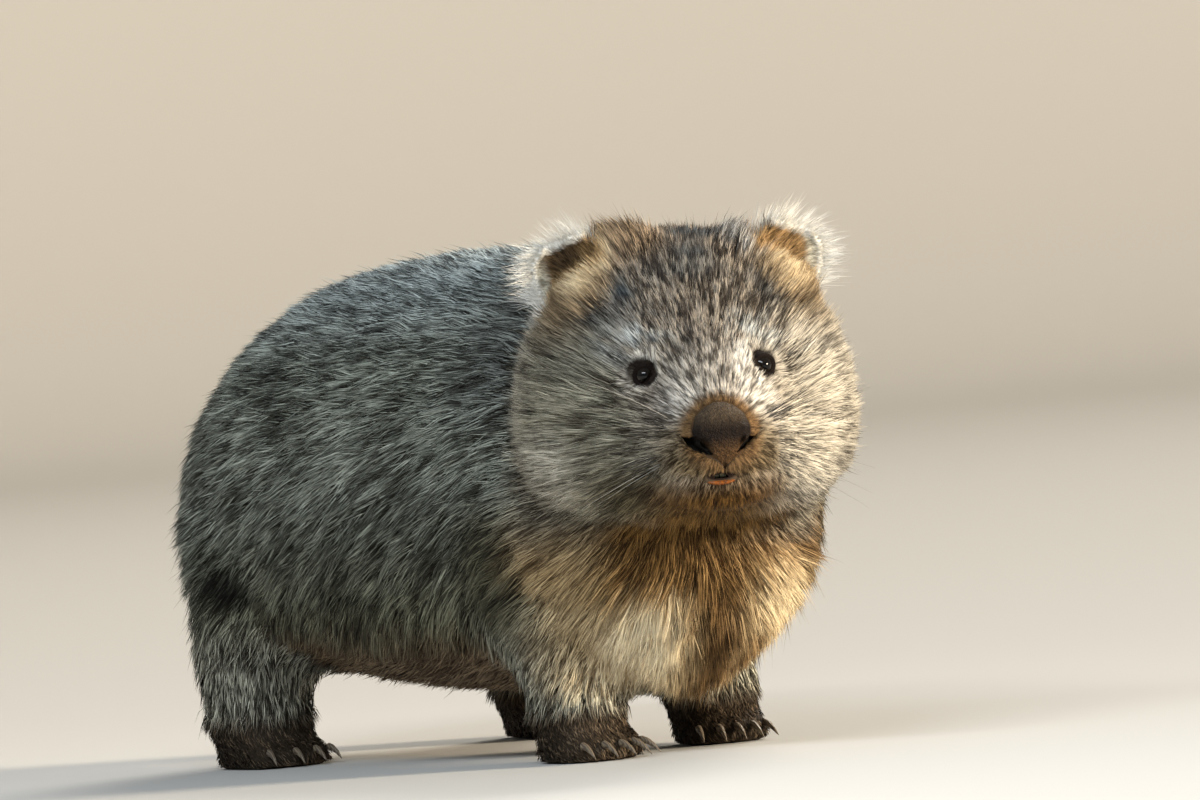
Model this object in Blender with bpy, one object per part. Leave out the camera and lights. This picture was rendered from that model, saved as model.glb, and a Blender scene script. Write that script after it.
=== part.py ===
"""A standing bare-nosed wombat, life size, as one still model parted into its named pieces.

Metres, +Z up. The animal faces -Y, so its right side is at -X, and its head is turned a
little to its right. Every outline of flesh runs out to the tips of the coat.
"""

import math

import bmesh
import bpy
from mathutils import Matrix, Vector

# Driving dimensions, in metres and degrees.
GAP = 0.0003
BACK_HEIGHT = 0.382
BODY_HALF_WIDTH = 0.168
CHEST_FRONT = -0.292
RUMP_END = 0.434

EYE_HEIGHT = 0.280
HEAD_PLACE = Vector((-0.055, -0.370, EYE_HEIGHT))  # midway between the eyes
HEAD_YAW = math.radians(-20)
HEAD_HALF_WIDTH = 0.125
CROWN_RISE = 0.100

EYE_SPREAD = 0.0432
EYE_SETBACK = -0.0062
EYE_RADIUS = 0.0080
LID_PLACE = (0.0040, 0.0500)  # forward and out, where the lids open
LID_RADII = (0.0104, 0.0112, 0.0080)

EAR_HEIGHT = 0.066
EAR_HALF_WIDTH = 0.042
EAR_SETBACK = -0.100
EAR_SPREAD = 0.061
EAR_TURN = math.radians(18)
# The right ear is pricked; the left one is held lower and leans out more: rise and lean.
EAR_POSES = {"right": (0.046, math.radians(18)), "left": (0.040, math.radians(25))}
EAR_HOLLOW_RADII = (0.021, 0.014, 0.021)

NOSE_HALF_WIDTH = 0.0222
NOSE_HEIGHT = 0.0465
NOSE_TOP = -0.0235
NOSE_BACK = 0.0530
NOSTRIL_PLACE = (0.0690, 0.0130, -0.0525)  # forward, out and up in the head
NOSTRIL_RADII = (0.0026, 0.0060, 0.0052)

MOUTH_PLACE = (0.0560, 0.0, -0.0793)
MOUTH_RADII = (0.0105, 0.0160, 0.0046)
JAW_HALF_WIDTH = 0.037
JAW_HALF_LENGTH = 0.046
TOOTH_HALF_WIDTH = 0.0037
TOOTH_SPREAD = 0.0039
TOOTH_FRONT = 0.0540
TOOTH_BACK = 0.0510
TOOTH_ROWS = {"upper": (-0.0780, -0.0718), "lower": (-0.0900, -0.0803)}  # low and high ends

TAIL_RADIUS = 0.020
TAIL_LENGTH = 0.042
TAIL_HEIGHT = 0.225

ANKLE_HEIGHT = 0.036
SOLE_DEPTH = 0.005  # how far the paw forms run below the floor before they are cut flat
TOE_RADII = (0.0080, 0.0170, 0.0120)
TOE_HEIGHT = 0.0100
CLAW_START = (0.0105, 0.0128)  # ahead of the toe's centre, and above the floor
CLAW_TIP = 0.0022
CLAW_RADIUS = 0.0030
CLAW_BLUNTNESS = 0.0005

FLESH_VOXEL = 0.006
PAW_VOXEL = 0.0036
FLESH_TRIANGLES = 1900
PAW_TRIANGLES = 135
BODY_SIDES = 40  # points round the trunk and the head
LIMB_SIDES = 24

SIDES = (("right", -1), ("left", 1))

# Cross-sections of the trunk, as shares of its length, half width and height:
# place along the body, width, top, belly.
TRUNK_SECTIONS = (
    (0.000, 0.10, 0.585, 0.450),
    (0.012, 0.33, 0.680, 0.330),
    (0.050, 0.57, 0.815, 0.205),
    (0.115, 0.72, 0.960, 0.128),
    (0.230, 0.83, 0.990, 0.112),
    (0.370, 0.92, 1.000, 0.112),
    (0.530, 0.98, 1.000, 0.118),
    (0.680, 1.02, 0.980, 0.142),
    (0.800, 0.99, 0.912, 0.182),
    (0.900, 0.87, 0.800, 0.225),
    (0.965, 0.65, 0.690, 0.285),
    (0.993, 0.38, 0.600, 0.375),
    (1.000, 0.12, 0.540, 0.445),
)
CHEST_SQUARENESS = 1.8  # the chest draws in below, and the belly hangs fuller
BELLY_SQUARENESS = 2.5
BACK_SQUARENESS = 2.3

# Cross-sections of the head: forward of the eyes, half width, top and bottom against the eyes.
HEAD_SECTIONS = (
    (0.0660, 0.0150, -0.0400, -0.0760),
    (0.0620, 0.0270, -0.0300, -0.0870),
    (0.0500, 0.0400, -0.0200, -0.0950),
    (0.0250, 0.0550, -0.0030, -0.0995),
    (0.0000, 0.0715, 0.0210, -0.1030),
    (-0.0300, 0.0945, 0.0520, -0.1080),
    (-0.0650, 0.1140, 0.0840, -0.1150),
    (-0.1000, HEAD_HALF_WIDTH, CROWN_RISE, -0.1200),
    (-0.1400, 0.1270, 0.1040, -0.1240),
    (-0.1800, 0.1180, 0.1000, -0.1300),
    (-0.2200, 0.0950, 0.0850, -0.1200),
)

# Cross-sections of an ear, as shares of its height and half width, and its half thickness.
EAR_SECTIONS = (
    (-0.20, 0.88, 0.0175),
    (0.25, 1.00, 0.0175),
    (0.60, 0.96, 0.0145),
    (0.85, 0.76, 0.0105),
    (0.97, 0.46, 0.0065),
    (1.00, 0.18, 0.0035),
)

# Cross-sections of the nose pad, as shares of its height and half width, and its reach ahead.
NOSE_SECTIONS = (
    (0.00, 0.22, 0.0060),
    (0.06, 0.50, 0.0100),
    (0.20, 0.84, 0.0150),
    (0.42, 1.00, 0.0185),
    (0.62, 0.93, 0.0180),
    (0.80, 0.66, 0.0145),
    (0.94, 0.32, 0.0105),
    (1.00, 0.10, 0.0070),
)

# A leg is a row of balls from the trunk to the ankle: out, along, height and radius.
FRONT_LEG = (
    (0.076, -0.150, 0.200, 0.064),
    (0.080, -0.138, 0.140, 0.056),
    (0.075, -0.143, 0.095, 0.047),
    (0.071, -0.150, 0.055, 0.039),
    (0.070, -0.152, 0.024, 0.034),
)
HIND_LEG = (
    (0.090, 0.275, 0.200, 0.088),
    (0.110, 0.264, 0.145, 0.072),
    (0.119, 0.267, 0.100, 0.056),
    (0.121, 0.279, 0.060, 0.046),
    (0.121, 0.281, 0.024, 0.040),
)

# Paws: half width, length before and behind the ankle, number of claws, claw length.
FRONT_PAW = {"name": "front", "half_width": 0.034, "fore": 0.040, "aft": 0.026,
             "toes": 5, "claw": 0.021, "toe_in": 8, "leg": FRONT_LEG}
HIND_PAW = {"name": "hind", "half_width": 0.034, "fore": 0.056, "aft": 0.034,
            "toes": 4, "claw": 0.016, "toe_in": 4, "leg": HIND_LEG}
LEFT_FRONT_STEP = 0.058  # the left front leg stands this much further back


def clear_scene():
    for obj in list(bpy.data.objects):
        bpy.data.objects.remove(obj)


def material(name, colour, roughness):
    made = bpy.data.materials.new(name)
    made.use_nodes = True
    shader = made.node_tree.nodes["Principled BSDF"]
    shader.inputs["Base Color"].default_value = (*colour, 1.0)
    shader.inputs["Roughness"].default_value = roughness
    shader.inputs["Metallic"].default_value = 0.0
    return made


def object_of(name, bm):
    """Turns a bmesh into an object, with its faces pointing out."""
    bmesh.ops.recalc_face_normals(bm, faces=bm.faces)
    mesh = bpy.data.meshes.new(name)
    bm.to_mesh(mesh)
    bm.free()
    obj = bpy.data.objects.new(name, mesh)
    bpy.context.scene.collection.objects.link(obj)
    return obj


def remove(obj):
    bpy.data.objects.remove(obj)


def bake(obj):
    """Replaces an object's mesh with what its modifiers make of it."""
    graph = bpy.context.evaluated_depsgraph_get()
    mesh = bpy.data.meshes.new_from_object(obj.evaluated_get(graph))
    obj.modifiers.clear()
    obj.data = mesh
    return obj


def boolean(obj, cutter, operation):
    cut = obj.modifiers.new("cut", "BOOLEAN")
    cut.object = cutter
    cut.operation = operation
    cut.solver = "EXACT"
    return bake(obj)


def take_from(obj, cutter):
    """Cuts a shape out of an object and drops the cutter."""
    boolean(obj, cutter, "DIFFERENCE")
    remove(cutter)


def copy_of(obj, name):
    made = bpy.data.objects.new(name, obj.data.copy())
    bpy.context.scene.collection.objects.link(made)
    return made


def swollen(obj):
    """A copy of a piece grown by the gap, for cutting a neighbour to fit it."""
    made = copy_of(obj, "swollen")
    push = made.modifiers.new("gap", "DISPLACE")
    push.strength = GAP
    push.mid_level = 0.0
    return bake(made)


def power(value, exponent):
    return math.copysign(abs(value) ** exponent, value)


def ring(centre, side, up, half_width, top, bottom, squareness, count, below=None):
    """A closed outline round a centre, with its own reach to the side, up and down."""
    points = []
    for i in range(count):
        turn = math.tau * i / count
        above = math.sin(turn) > 0
        bend = 2 / (squareness if above else below or squareness)
        across = power(math.cos(turn), bend) * half_width
        rise = power(math.sin(turn), bend) * (top if above else bottom)
        points.append(centre + side * across + up * rise)
    return points


def loft(name, rings):
    """A closed body through a row of outlines."""
    bm = bmesh.new()
    rows = [[bm.verts.new(p) for p in points] for points in rings]
    count = len(rows[0])
    for first, second in zip(rows, rows[1:]):
        for i in range(count):
            j = (i + 1) % count
            bm.faces.new((first[i], first[j], second[j], second[i]))
    for row in (rows[0], rows[-1]):
        middle = bm.verts.new(sum((v.co for v in row), Vector()) / count)
        for i in range(count):
            bm.faces.new((row[i], row[(i + 1) % count], middle))
    bmesh.ops.triangulate(bm, faces=bm.faces[:])
    return object_of(name, bm)


def eased(rows, steps):
    """Passes a smooth curve through a table of sections and returns more sections."""
    fine = []
    last = len(rows) - 1
    for i in range(last):
        for k in range(steps):
            t = k / steps
            before = rows[max(i - 1, 0)]
            after = rows[min(i + 2, last)]
            fine.append(tuple(
                0.5 * ((2 * b) + (c - a) * t + (2 * a - 5 * b + 4 * c - d) * t * t
                       + (3 * b - a - 3 * c + d) * t ** 3)
                for a, b, c, d in zip(before, rows[i], rows[i + 1], after)
            ))
    fine.append(rows[-1])
    return fine


def ellipsoid(name, centre, radii, turn=None, detail=24):
    """A ball stretched along its own three axes."""
    bm = bmesh.new()
    bmesh.ops.create_uvsphere(bm, u_segments=detail, v_segments=detail // 2, radius=1.0)
    stretch = Matrix.Diagonal((*radii, 1.0))
    place = Matrix.Translation(centre) @ (turn or Matrix()) @ stretch
    bmesh.ops.transform(bm, matrix=place, verts=bm.verts)
    return object_of(name, bm)


def box(name, low, high, turn=None, place=Vector()):
    """A block between two corners, turned and then moved."""
    bm = bmesh.new()
    size = [b - a for a, b in zip(low, high)]
    middle = [(a + b) / 2 for a, b in zip(low, high)]
    bmesh.ops.create_cube(bm, size=1.0)
    shape = Matrix.Translation(middle) @ Matrix.Diagonal((*size, 1.0))
    bmesh.ops.transform(bm, matrix=Matrix.Translation(place) @ (turn or Matrix()) @ shape,
                        verts=bm.verts)
    return object_of(name, bm)


def joined(name, objects):
    """Several closed forms in one object, still overlapping."""
    bm = bmesh.new()
    for obj in objects:
        bm.from_mesh(obj.data)
        remove(obj)
    return object_of(name, bm)


def melted(obj, voxel, smoothing):
    """Fuses overlapping forms into one skin and softens where they meet."""
    remesh = obj.modifiers.new("fuse", "REMESH")
    remesh.mode = "VOXEL"
    remesh.voxel_size = voxel
    soften = obj.modifiers.new("soften", "SMOOTH")
    soften.factor = 0.5
    soften.iterations = smoothing
    return bake(obj)


def thinned(obj, triangles):
    """Brings a dense skin down to a number of triangles."""
    obj.data.update()
    now = sum(len(p.vertices) - 2 for p in obj.data.polygons)
    fewer = obj.modifiers.new("thin", "DECIMATE")
    fewer.ratio = min(1.0, triangles / now)
    fewer.use_collapse_triangulate = True
    return bake(obj)


def head_frame():
    """Turns head axes (left, back, up) from the point midway between the eyes into place."""
    return Matrix.Translation(HEAD_PLACE) @ Matrix.Rotation(HEAD_YAW, 4, "Z")


def in_head(forward, out, up):
    """A point of the head: forward of the eyes, out to the animal's left, and up."""
    return head_frame() @ Vector((out, -forward, up))


def head_turn():
    return Matrix.Rotation(HEAD_YAW, 4, "Z")


def trunk_form():
    """The barrel of the body, from the chest to the rump."""
    length = RUMP_END - CHEST_FRONT
    rings = []
    for along, wide, top, belly in eased(TRUNK_SECTIONS, 3):
        middle = BACK_HEIGHT * (0.45 * top + 0.55 * belly)
        centre = Vector((0.0, CHEST_FRONT + along * length, middle))
        full = min(1.0, max(0.0, (along - 0.1) / 0.35))
        below = CHEST_SQUARENESS + full * (BELLY_SQUARENESS - CHEST_SQUARENESS)
        rings.append(ring(centre, Vector((1, 0, 0)), Vector((0, 0, 1)),
                          BODY_HALF_WIDTH * wide,
                          BACK_HEIGHT * top - middle, middle - BACK_HEIGHT * belly,
                          BACK_SQUARENESS, BODY_SIDES, below))
    return loft("trunk_form", rings)


def head_form():
    """The head from the muzzle back into the neck, widest at the cheeks."""
    turn = head_turn()
    side = turn @ Vector((1, 0, 0))
    rings = []
    for forward, wide, top, bottom in eased(HEAD_SECTIONS, 3):
        middle = bottom + 0.37 * (top - bottom)
        rings.append(ring(in_head(forward, 0.0, middle), side, Vector((0, 0, 1)),
                          wide, top - middle, middle - bottom, 2.15, BODY_SIDES, 2.45))
    return loft("head_form", rings)


def limb_form(name, balls, sign, shift):
    """A leg as a smooth loft round a row of balls."""
    rings = []
    for out, along, height, radius in eased(balls, 3):
        centre = Vector((sign * out, along + shift, height))
        rings.append(ring(centre, Vector((1, 0, 0)), Vector((0, -1, 0)),
                          radius, radius * 1.08, radius * 1.08, 2.0, LIMB_SIDES))
    return loft(name, rings)


def step_back(kind, side):
    return LEFT_FRONT_STEP if (kind["name"], side) == ("front", "left") else 0.0


def paw_frame(kind, side, sign):
    """Paw axes (outward, back, up) with the origin on the floor under the ankle."""
    out, along, _, _ = kind["leg"][-1]
    place = Matrix.Translation((sign * out, along + step_back(kind, side), 0.0))
    return place @ Matrix.Rotation(-sign * math.radians(kind["toe_in"]), 4, "Z")


def toes_of(kind):
    """For each toe, how far it stands to the side, its reach forward and its splay."""
    count = kind["toes"]
    for i in range(count):
        across = 2 * i / (count - 1) - 1
        reach = kind["fore"] - 0.011 * across * across
        yield i + 1, across * kind["half_width"] * 0.76, reach, math.radians(9 * across)


def paw_form(kind, side, sign):
    """One paw with its toes, cut flat on the floor and level at the ankle."""
    frame = paw_frame(kind, side, sign)
    width = kind["half_width"]
    sections = (
        (-kind["aft"] - 0.006, 0.30, 0.016),
        (-kind["aft"], 0.66, 0.030),
        (-0.4 * kind["aft"], 0.92, 0.042),
        (0.25 * kind["fore"], 1.00, 0.040),
        (0.65 * kind["fore"], 1.00, 0.029),
        (0.90 * kind["fore"], 0.88, 0.020),
    )
    rings = []
    for forward, wide, top in eased(sections, 2):
        centre = frame @ Vector((0, -forward, 0.4 * top))
        rings.append(ring(centre, frame.to_3x3() @ Vector((1, 0, 0)), Vector((0, 0, 1)),
                          width * wide, 0.6 * top, 0.4 * top + SOLE_DEPTH, 2.4, LIMB_SIDES))
    forms = [loft("paw_sole", rings)]
    for _, across, reach, splay in toes_of(kind):
        turn = Matrix.Rotation(-splay, 4, "Z")
        centre = Vector((across, -reach, TOE_HEIGHT))
        toe = ellipsoid("toe", centre, TOE_RADII, turn, 16)
        toe.data.transform(frame)
        forms.append(toe)
    leg = [row for row in eased(kind["leg"], 3) if row[2] < ANKLE_HEIGHT + 0.03]
    forms.append(limb_form("ankle", leg, sign, step_back(kind, side)))
    paw = melted(joined(f"{kind['name']}_foot_{side}", forms), PAW_VOXEL, 4)
    thinned(paw, PAW_TRIANGLES)
    take_from(paw, box("below", (-1, -1, -0.1), (1, 1, 0.0)))
    take_from(paw, box("above", (-1, -1, ANKLE_HEIGHT - GAP), (1, 1, 0.3)))
    return paw


def claw_form(name, frame, across, reach, splay, length, grow=0.0):
    """A claw that leaves the toe's tip, bends down and ends just off the floor."""
    rings = []
    steps = 3
    start = Vector((across, -reach - CLAW_START[0], CLAW_START[1]))
    ahead = Vector((math.sin(splay), -math.cos(splay), 0.0))
    side = Vector((math.cos(splay), math.sin(splay), 0.0))
    drop = start.z - CLAW_TIP
    for i in range(steps + 1):
        share = i / steps
        thick = CLAW_RADIUS * (1 - share) ** 0.7 + CLAW_BLUNTNESS + grow
        centre = start + ahead * length * share
        centre.z = start.z - drop * share ** 1.8
        slope = math.atan2(drop * 1.8 * share ** 0.8, length)
        up = Vector((0, 0, math.cos(slope))) + ahead * math.sin(slope)
        rings.append(ring(centre, side, up, thick * 0.85, thick, thick, 2.0, 6))
    if grow:
        back = -ahead * grow
        rings.insert(0, [p + back for p in rings[0]])
    claw = loft(name, rings)
    claw.data.transform(frame)
    return claw


def paw_with_claws(kind, side, sign):
    """A paw with a socket for each claw, and the claws in them."""
    paw = paw_form(kind, side, sign)
    frame = paw_frame(kind, side, sign)
    made = [(paw, "coat")]
    for number, across, reach, splay in toes_of(kind):
        shape = (frame, across, reach, splay, kind["claw"])
        take_from(paw, claw_form("socket", *shape, grow=GAP))
        made.append((claw_form(f"{kind['name']}_claw_{side}_{number}", *shape), "claw"))
    return made


def ear_form(name, sign, rise, lean):
    """An ear out to its fringe: a broad rounded leaf with a hollow on its front."""
    turn = (head_turn() @ Matrix.Rotation(sign * lean, 4, "Y")
            @ Matrix.Rotation(sign * EAR_TURN, 4, "Z"))
    base = in_head(EAR_SETBACK, sign * EAR_SPREAD, rise)
    side = turn @ Vector((1, 0, 0))
    back = turn @ Vector((0, 1, 0))
    rings = []
    for up_share, wide, thick in EAR_SECTIONS:
        centre = base + turn @ Vector((0, 0, up_share * EAR_HEIGHT))
        rings.append(ring(centre, side, back, EAR_HALF_WIDTH * wide, thick, thick, 2.2, 16))
    ear = loft(name, rings)
    hollow = base + turn @ Vector((sign * 0.012, -0.020, 0.58 * EAR_HEIGHT))
    take_from(ear, ellipsoid("hollow", hollow, EAR_HOLLOW_RADII, turn, 12))
    return ear


def nose_form():
    """The bare nose pad: domed, broad above, and drawn to a point at the lip."""
    turn = head_turn()
    side = turn @ Vector((1, 0, 0))
    ahead = turn @ Vector((0, -1, 0))
    rings = []
    for drop, wide, reach in NOSE_SECTIONS:
        height = NOSE_TOP - drop * NOSE_HEIGHT
        centre = in_head(NOSE_BACK + 0.004 * drop, 0.0, height)
        rings.append(ring(centre, side, ahead, NOSE_HALF_WIDTH * wide,
                          reach, 0.010, 2.2, 16))
    return loft("nose", rings)


def nose_pad(head):
    """The nose with its two nostrils, let into the head with a thin gap."""
    nose = nose_form()
    take_from(head, swollen(nose))
    for _, sign in SIDES:
        forward, out, up = NOSTRIL_PLACE
        place = in_head(forward, sign * out, up)
        lean = head_turn() @ Matrix.Rotation(sign * math.radians(35), 4, "Y")
        take_from(nose, ellipsoid("nostril", place, NOSTRIL_RADII, lean, 8))
    return nose


def tooth_form(name, out, low, high, grow=0.0):
    """A chisel tooth of the front of the mouth, as a block with bevelled edges."""
    half = TOOTH_HALF_WIDTH + grow
    corner = (out - half, -TOOTH_FRONT - grow, low - grow)
    other = (out + half, -TOOTH_BACK + grow, high + grow)
    tooth = box(name, corner, other, head_turn(), HEAD_PLACE)
    if not grow:
        bevel = tooth.modifiers.new("edges", "BEVEL")
        bevel.width = 0.0006
        bevel.segments = 1
        bake(tooth)
    return tooth


def teeth(head, jaw):
    """Two upper and two lower incisors, each in a socket."""
    made = []
    for row, holder in (("upper", head), ("lower", jaw)):
        for side, sign in SIDES:
            shape = (sign * TOOTH_SPREAD, *TOOTH_ROWS[row])
            take_from(holder, tooth_form("socket", *shape, grow=GAP))
            made.append((tooth_form(f"{row}_incisor_{side}", *shape), "tooth"))
    return made


def eyes(head):
    made = []
    for side, sign in SIDES:
        place = in_head(EYE_SETBACK, sign * EYE_SPREAD, 0.0)
        take_from(head, ellipsoid("socket", place, (EYE_RADIUS + GAP,) * 3, None, 14))
        opening = in_head(LID_PLACE[0], sign * LID_PLACE[1], 0.0)
        take_from(head, ellipsoid("lid_opening", opening, LID_RADII, head_turn(), 14))
        made.append((ellipsoid(f"eye_{side}", place, (EYE_RADIUS,) * 3, None, 14), "eye"))
    return made


def part_off(body, make_cutter, name):
    """Takes a named piece off a body with a thin cut between them."""
    piece = copy_of(body, name)
    cutter = make_cutter(0.0)
    boolean(piece, cutter, "INTERSECT")
    remove(cutter)
    take_from(body, make_cutter(GAP))
    return piece


def drum_cutter(start, end, side, up, half_width, half_height):
    """A straight drum of oval section between two points."""
    along = (end - start).normalized()

    def make(grow):
        rings = [ring(start - along * grow, side, up, half_width + grow,
                      half_height + grow, half_height + grow, 2.0, 18),
                 ring(end + along * grow, side, up, half_width + grow,
                      half_height + grow, half_height + grow, 2.0, 18)]
        return loft("cutter", rings)
    return make


def limb_cutter(sign, inner, along, height, half_width, half_height):
    """A drum across the body, round the whole of a leg as seen from the side."""
    return drum_cutter(Vector((sign * inner, along, height)),
                       Vector((sign * 0.3, along, height)),
                       Vector((0, 1, 0)), Vector((0, 0, 1)), half_width, half_height)


def block_cutter(low, high, turn=None, place=Vector()):
    def make(grow):
        return box("cutter", [v - grow for v in low], [v + grow for v in high], turn, place)
    return make


def flesh_form():
    """Trunk, head and legs as one smooth skin."""
    forms = [trunk_form(), head_form()]
    for kind in (FRONT_PAW, HIND_PAW):
        for side, sign in SIDES:
            forms.append(limb_form("leg", kind["leg"], sign, step_back(kind, side)))
    forms.append(tail_form())
    body = melted(joined("rump", forms), FLESH_VOXEL, 14)
    return thinned(body, FLESH_TRIANGLES)


def tail_form():
    """A short stub that the coat of the rump all but hides."""
    rings = []
    for share in (0.0, 0.3, 0.6, 0.85, 1.0):
        radius = TAIL_RADIUS * math.sqrt(1 - 0.92 * share * share)
        centre = Vector((0, RUMP_END - 0.030 + TAIL_LENGTH * share, TAIL_HEIGHT - 0.040 * share))
        rings.append(ring(centre, Vector((1, 0, 0)), Vector((0, -0.6, 0.8)),
                          radius, radius, radius, 2.0, 16))
    return loft("tail_form", rings)


def tail_cutter(grow):
    return ellipsoid("cutter", (0, RUMP_END + 0.012, 0.190),
                     (0.026 + grow, 0.030 + grow, 0.034 + grow), None, 12)


def parted_flesh():
    """The skin parted into head, jaw, neck, trunk pieces, legs and tail."""
    body = flesh_form()
    take_from(body, box("ankles", (-1, -1, -0.1), (1, 1, ANKLE_HEIGHT)))
    made = []
    for side, sign in SIDES:
        shift = step_back(FRONT_PAW, side)
        front = limb_cutter(sign, 0.024, -0.146 + shift, 0.095, 0.066, 0.112)
        made.append((part_off(body, front, f"front_leg_{side}"), "coat"))
        hind = limb_cutter(sign, 0.060, 0.272, 0.120, 0.092, 0.128)
        made.append((part_off(body, hind, f"hind_leg_{side}"), "coat"))
    made.append((part_off(body, tail_cutter, "tail"), "coat"))
    nape = head_turn() @ Matrix.Rotation(math.radians(8), 4, "X")
    head_block = block_cutter((-0.3, -0.3, -0.123), (0.3, 0.125, 0.3), nape, HEAD_PLACE)
    head = part_off(body, head_block, "head")
    neck_turn = Matrix.Rotation(HEAD_YAW / 2, 4, "Z")
    neck_block = block_cutter((-0.4, -0.4, 0.150), (0.4, -0.195, 0.6), neck_turn)
    neck = part_off(body, neck_block, "neck")
    made.append((neck, "coat"))
    made.append((part_off(body, block_cutter((-1, -1, -1), (1, -0.050, 1)), "shoulders"), "coat"))
    made.append((part_off(body, block_cutter((-1, -1, -1), (1, 0.165, 1)), "belly"), "coat"))
    made.append((body, "coat"))
    return head, neck, made


def mouth_and_jaw(head):
    """The slightly open mouth, with the lower jaw parted from the head."""
    take_from(head, ellipsoid("mouth", in_head(*MOUTH_PLACE), MOUTH_RADII, head_turn(), 12))
    slope = head_turn() @ Matrix.Rotation(math.radians(-8), 4, "X")
    low = HEAD_PLACE + slope @ Vector((0, -0.030, -0.200))
    high = HEAD_PLACE + slope @ Vector((0, -0.030, -0.0870))
    drum = drum_cutter(low, high, slope @ Vector((1, 0, 0)), slope @ Vector((0, 1, 0)),
                       JAW_HALF_WIDTH, JAW_HALF_LENGTH)
    return part_off(head, drum, "lower_jaw")


def ears(head, neck):
    """Both ears, each cut to sit on the head and neck with a thin gap."""
    made = []
    for side, sign in SIDES:
        ear = ear_form(f"ear_{side}", sign, *EAR_POSES[side])
        take_from(ear, swollen(head))
        take_from(ear, swollen(neck))
        made.append((ear, "coat"))
    return made


def finish(pieces):
    """Gives each piece its own material and stands the model on the origin."""
    looks = {
        "coat": ((0.30, 0.27, 0.23), 0.95),
        "nose": ((0.16, 0.12, 0.10), 0.50),
        "eye": ((0.012, 0.010, 0.010), 0.08),
        "claw": ((0.10, 0.085, 0.07), 0.45),
        "tooth": ((0.62, 0.50, 0.28), 0.35),
    }
    corners = [Vector(c) for obj, _ in pieces for c in obj.bound_box]
    middle = Vector([(min(c[k] for c in corners) + max(c[k] for c in corners)) / 2
                     for k in range(2)] + [0.0])
    for obj, look in pieces:
        obj.data.transform(Matrix.Translation(-middle))
        obj.data.materials.clear()
        obj.data.materials.append(material(obj.name, *looks[look]))
        obj.data.shade_smooth()


def main():
    clear_scene()
    head, neck, pieces = parted_flesh()
    nose = nose_pad(head)
    jaw = mouth_and_jaw(head)
    pieces += eyes(head)
    pieces += teeth(head, jaw)
    pieces += ears(head, neck)
    pieces += [(head, "coat"), (jaw, "coat"), (nose, "nose")]
    for kind in (FRONT_PAW, HIND_PAW):
        for side, sign in SIDES:
            pieces += paw_with_claws(kind, side, sign)
    finish(pieces)


main()
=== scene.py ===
import math

import bmesh
import bpy
import numpy as np
from mathutils import Matrix, Vector


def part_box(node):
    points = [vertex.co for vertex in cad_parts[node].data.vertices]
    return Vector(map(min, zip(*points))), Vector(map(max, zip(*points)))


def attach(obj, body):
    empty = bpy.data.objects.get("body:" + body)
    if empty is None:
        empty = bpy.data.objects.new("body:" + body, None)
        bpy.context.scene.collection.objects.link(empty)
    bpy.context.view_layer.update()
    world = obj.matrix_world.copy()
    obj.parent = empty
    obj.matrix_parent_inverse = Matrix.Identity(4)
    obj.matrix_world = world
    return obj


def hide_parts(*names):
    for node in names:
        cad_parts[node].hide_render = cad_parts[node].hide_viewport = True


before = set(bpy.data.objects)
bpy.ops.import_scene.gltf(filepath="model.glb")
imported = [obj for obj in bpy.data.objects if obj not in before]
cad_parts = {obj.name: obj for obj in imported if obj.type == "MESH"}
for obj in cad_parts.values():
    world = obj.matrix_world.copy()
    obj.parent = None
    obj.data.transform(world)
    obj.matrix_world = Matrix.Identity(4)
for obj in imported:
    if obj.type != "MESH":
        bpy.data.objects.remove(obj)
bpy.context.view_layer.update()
print("frame loaded")

# Metres. The animal faces -Y and its right side is at -X. The head has axes of its own,
# forward, left and up, that start midway between the eyes.


def boxMiddle(node):
    low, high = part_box(node)
    return (low + high) / 2


browPoint = (boxMiddle("eye_left") + boxMiddle("eye_right")) / 2
headLeft = (boxMiddle("eye_left") - boxMiddle("eye_right")).normalized()
headForward = Vector((headLeft.y, -headLeft.x, 0))
headUp = Vector((0, 0, 1))
headAxes = np.array([headForward, headLeft, headUp])
sides = (("Right", "right", -1), ("Left", "left", 1))
eyeRadius = (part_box("eye_left")[1].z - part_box("eye_left")[0].z) / 2
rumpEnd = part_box("rump")[1].y
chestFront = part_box("shoulders")[0].y
feet = [boxMiddle(f"{end}_foot_{side}") for end in ("front", "hind") for side in ("right", "left")]
tailRoot = boxMiddle("tail")


def headPoint(forward, left, up):
    return browPoint + headForward * forward + headLeft * left + headUp * up


def inHead(points):
    return (points - np.array(browPoint)) @ headAxes.T


def ease(value, low, high):
    # 0 up to low, 1 from high on, and smooth between
    t = np.clip((value - low) / (high - low), 0, 1)
    return t * t * (3 - 2 * t)


def blob(points, centre, radii, soft=0.5):
    # 1 inside a ball stretched along the given axes, 0 outside it, smooth between
    far = np.linalg.norm((points - np.array(centre)) / np.array(radii), axis=1)
    return 1 - ease(far, 1 - soft, 1 + soft)


noiseSide = 48  # cells along each side of a table; the noise repeats after as many
noiseTables = {}


def noiseTable(seed):
    if seed not in noiseTables:
        size = (noiseSide, noiseSide, noiseSide)
        noiseTables[seed] = np.random.default_rng(seed).uniform(-1, 1, size)
    return noiseTables[seed]


def noiseAt(points, size, seed):
    # smooth noise, mostly from -1 to 1, with patches about as large as size
    table = noiseTable(seed)
    q = points / size + 200
    base = np.floor(q).astype(int)
    t = q - base
    t = t * t * (3 - 2 * t)
    total = np.zeros(len(points))
    for i in (0, 1):
        for j in (0, 1):
            for k in (0, 1):
                share = (np.abs(1 - i - t[:, 0]) * np.abs(1 - j - t[:, 1])
                         * np.abs(1 - k - t[:, 2]))
                cell = (base + (i, j, k)) % noiseSide
                total += share * table[cell[:, 0], cell[:, 1], cell[:, 2]]
    return total * 1.6


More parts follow.
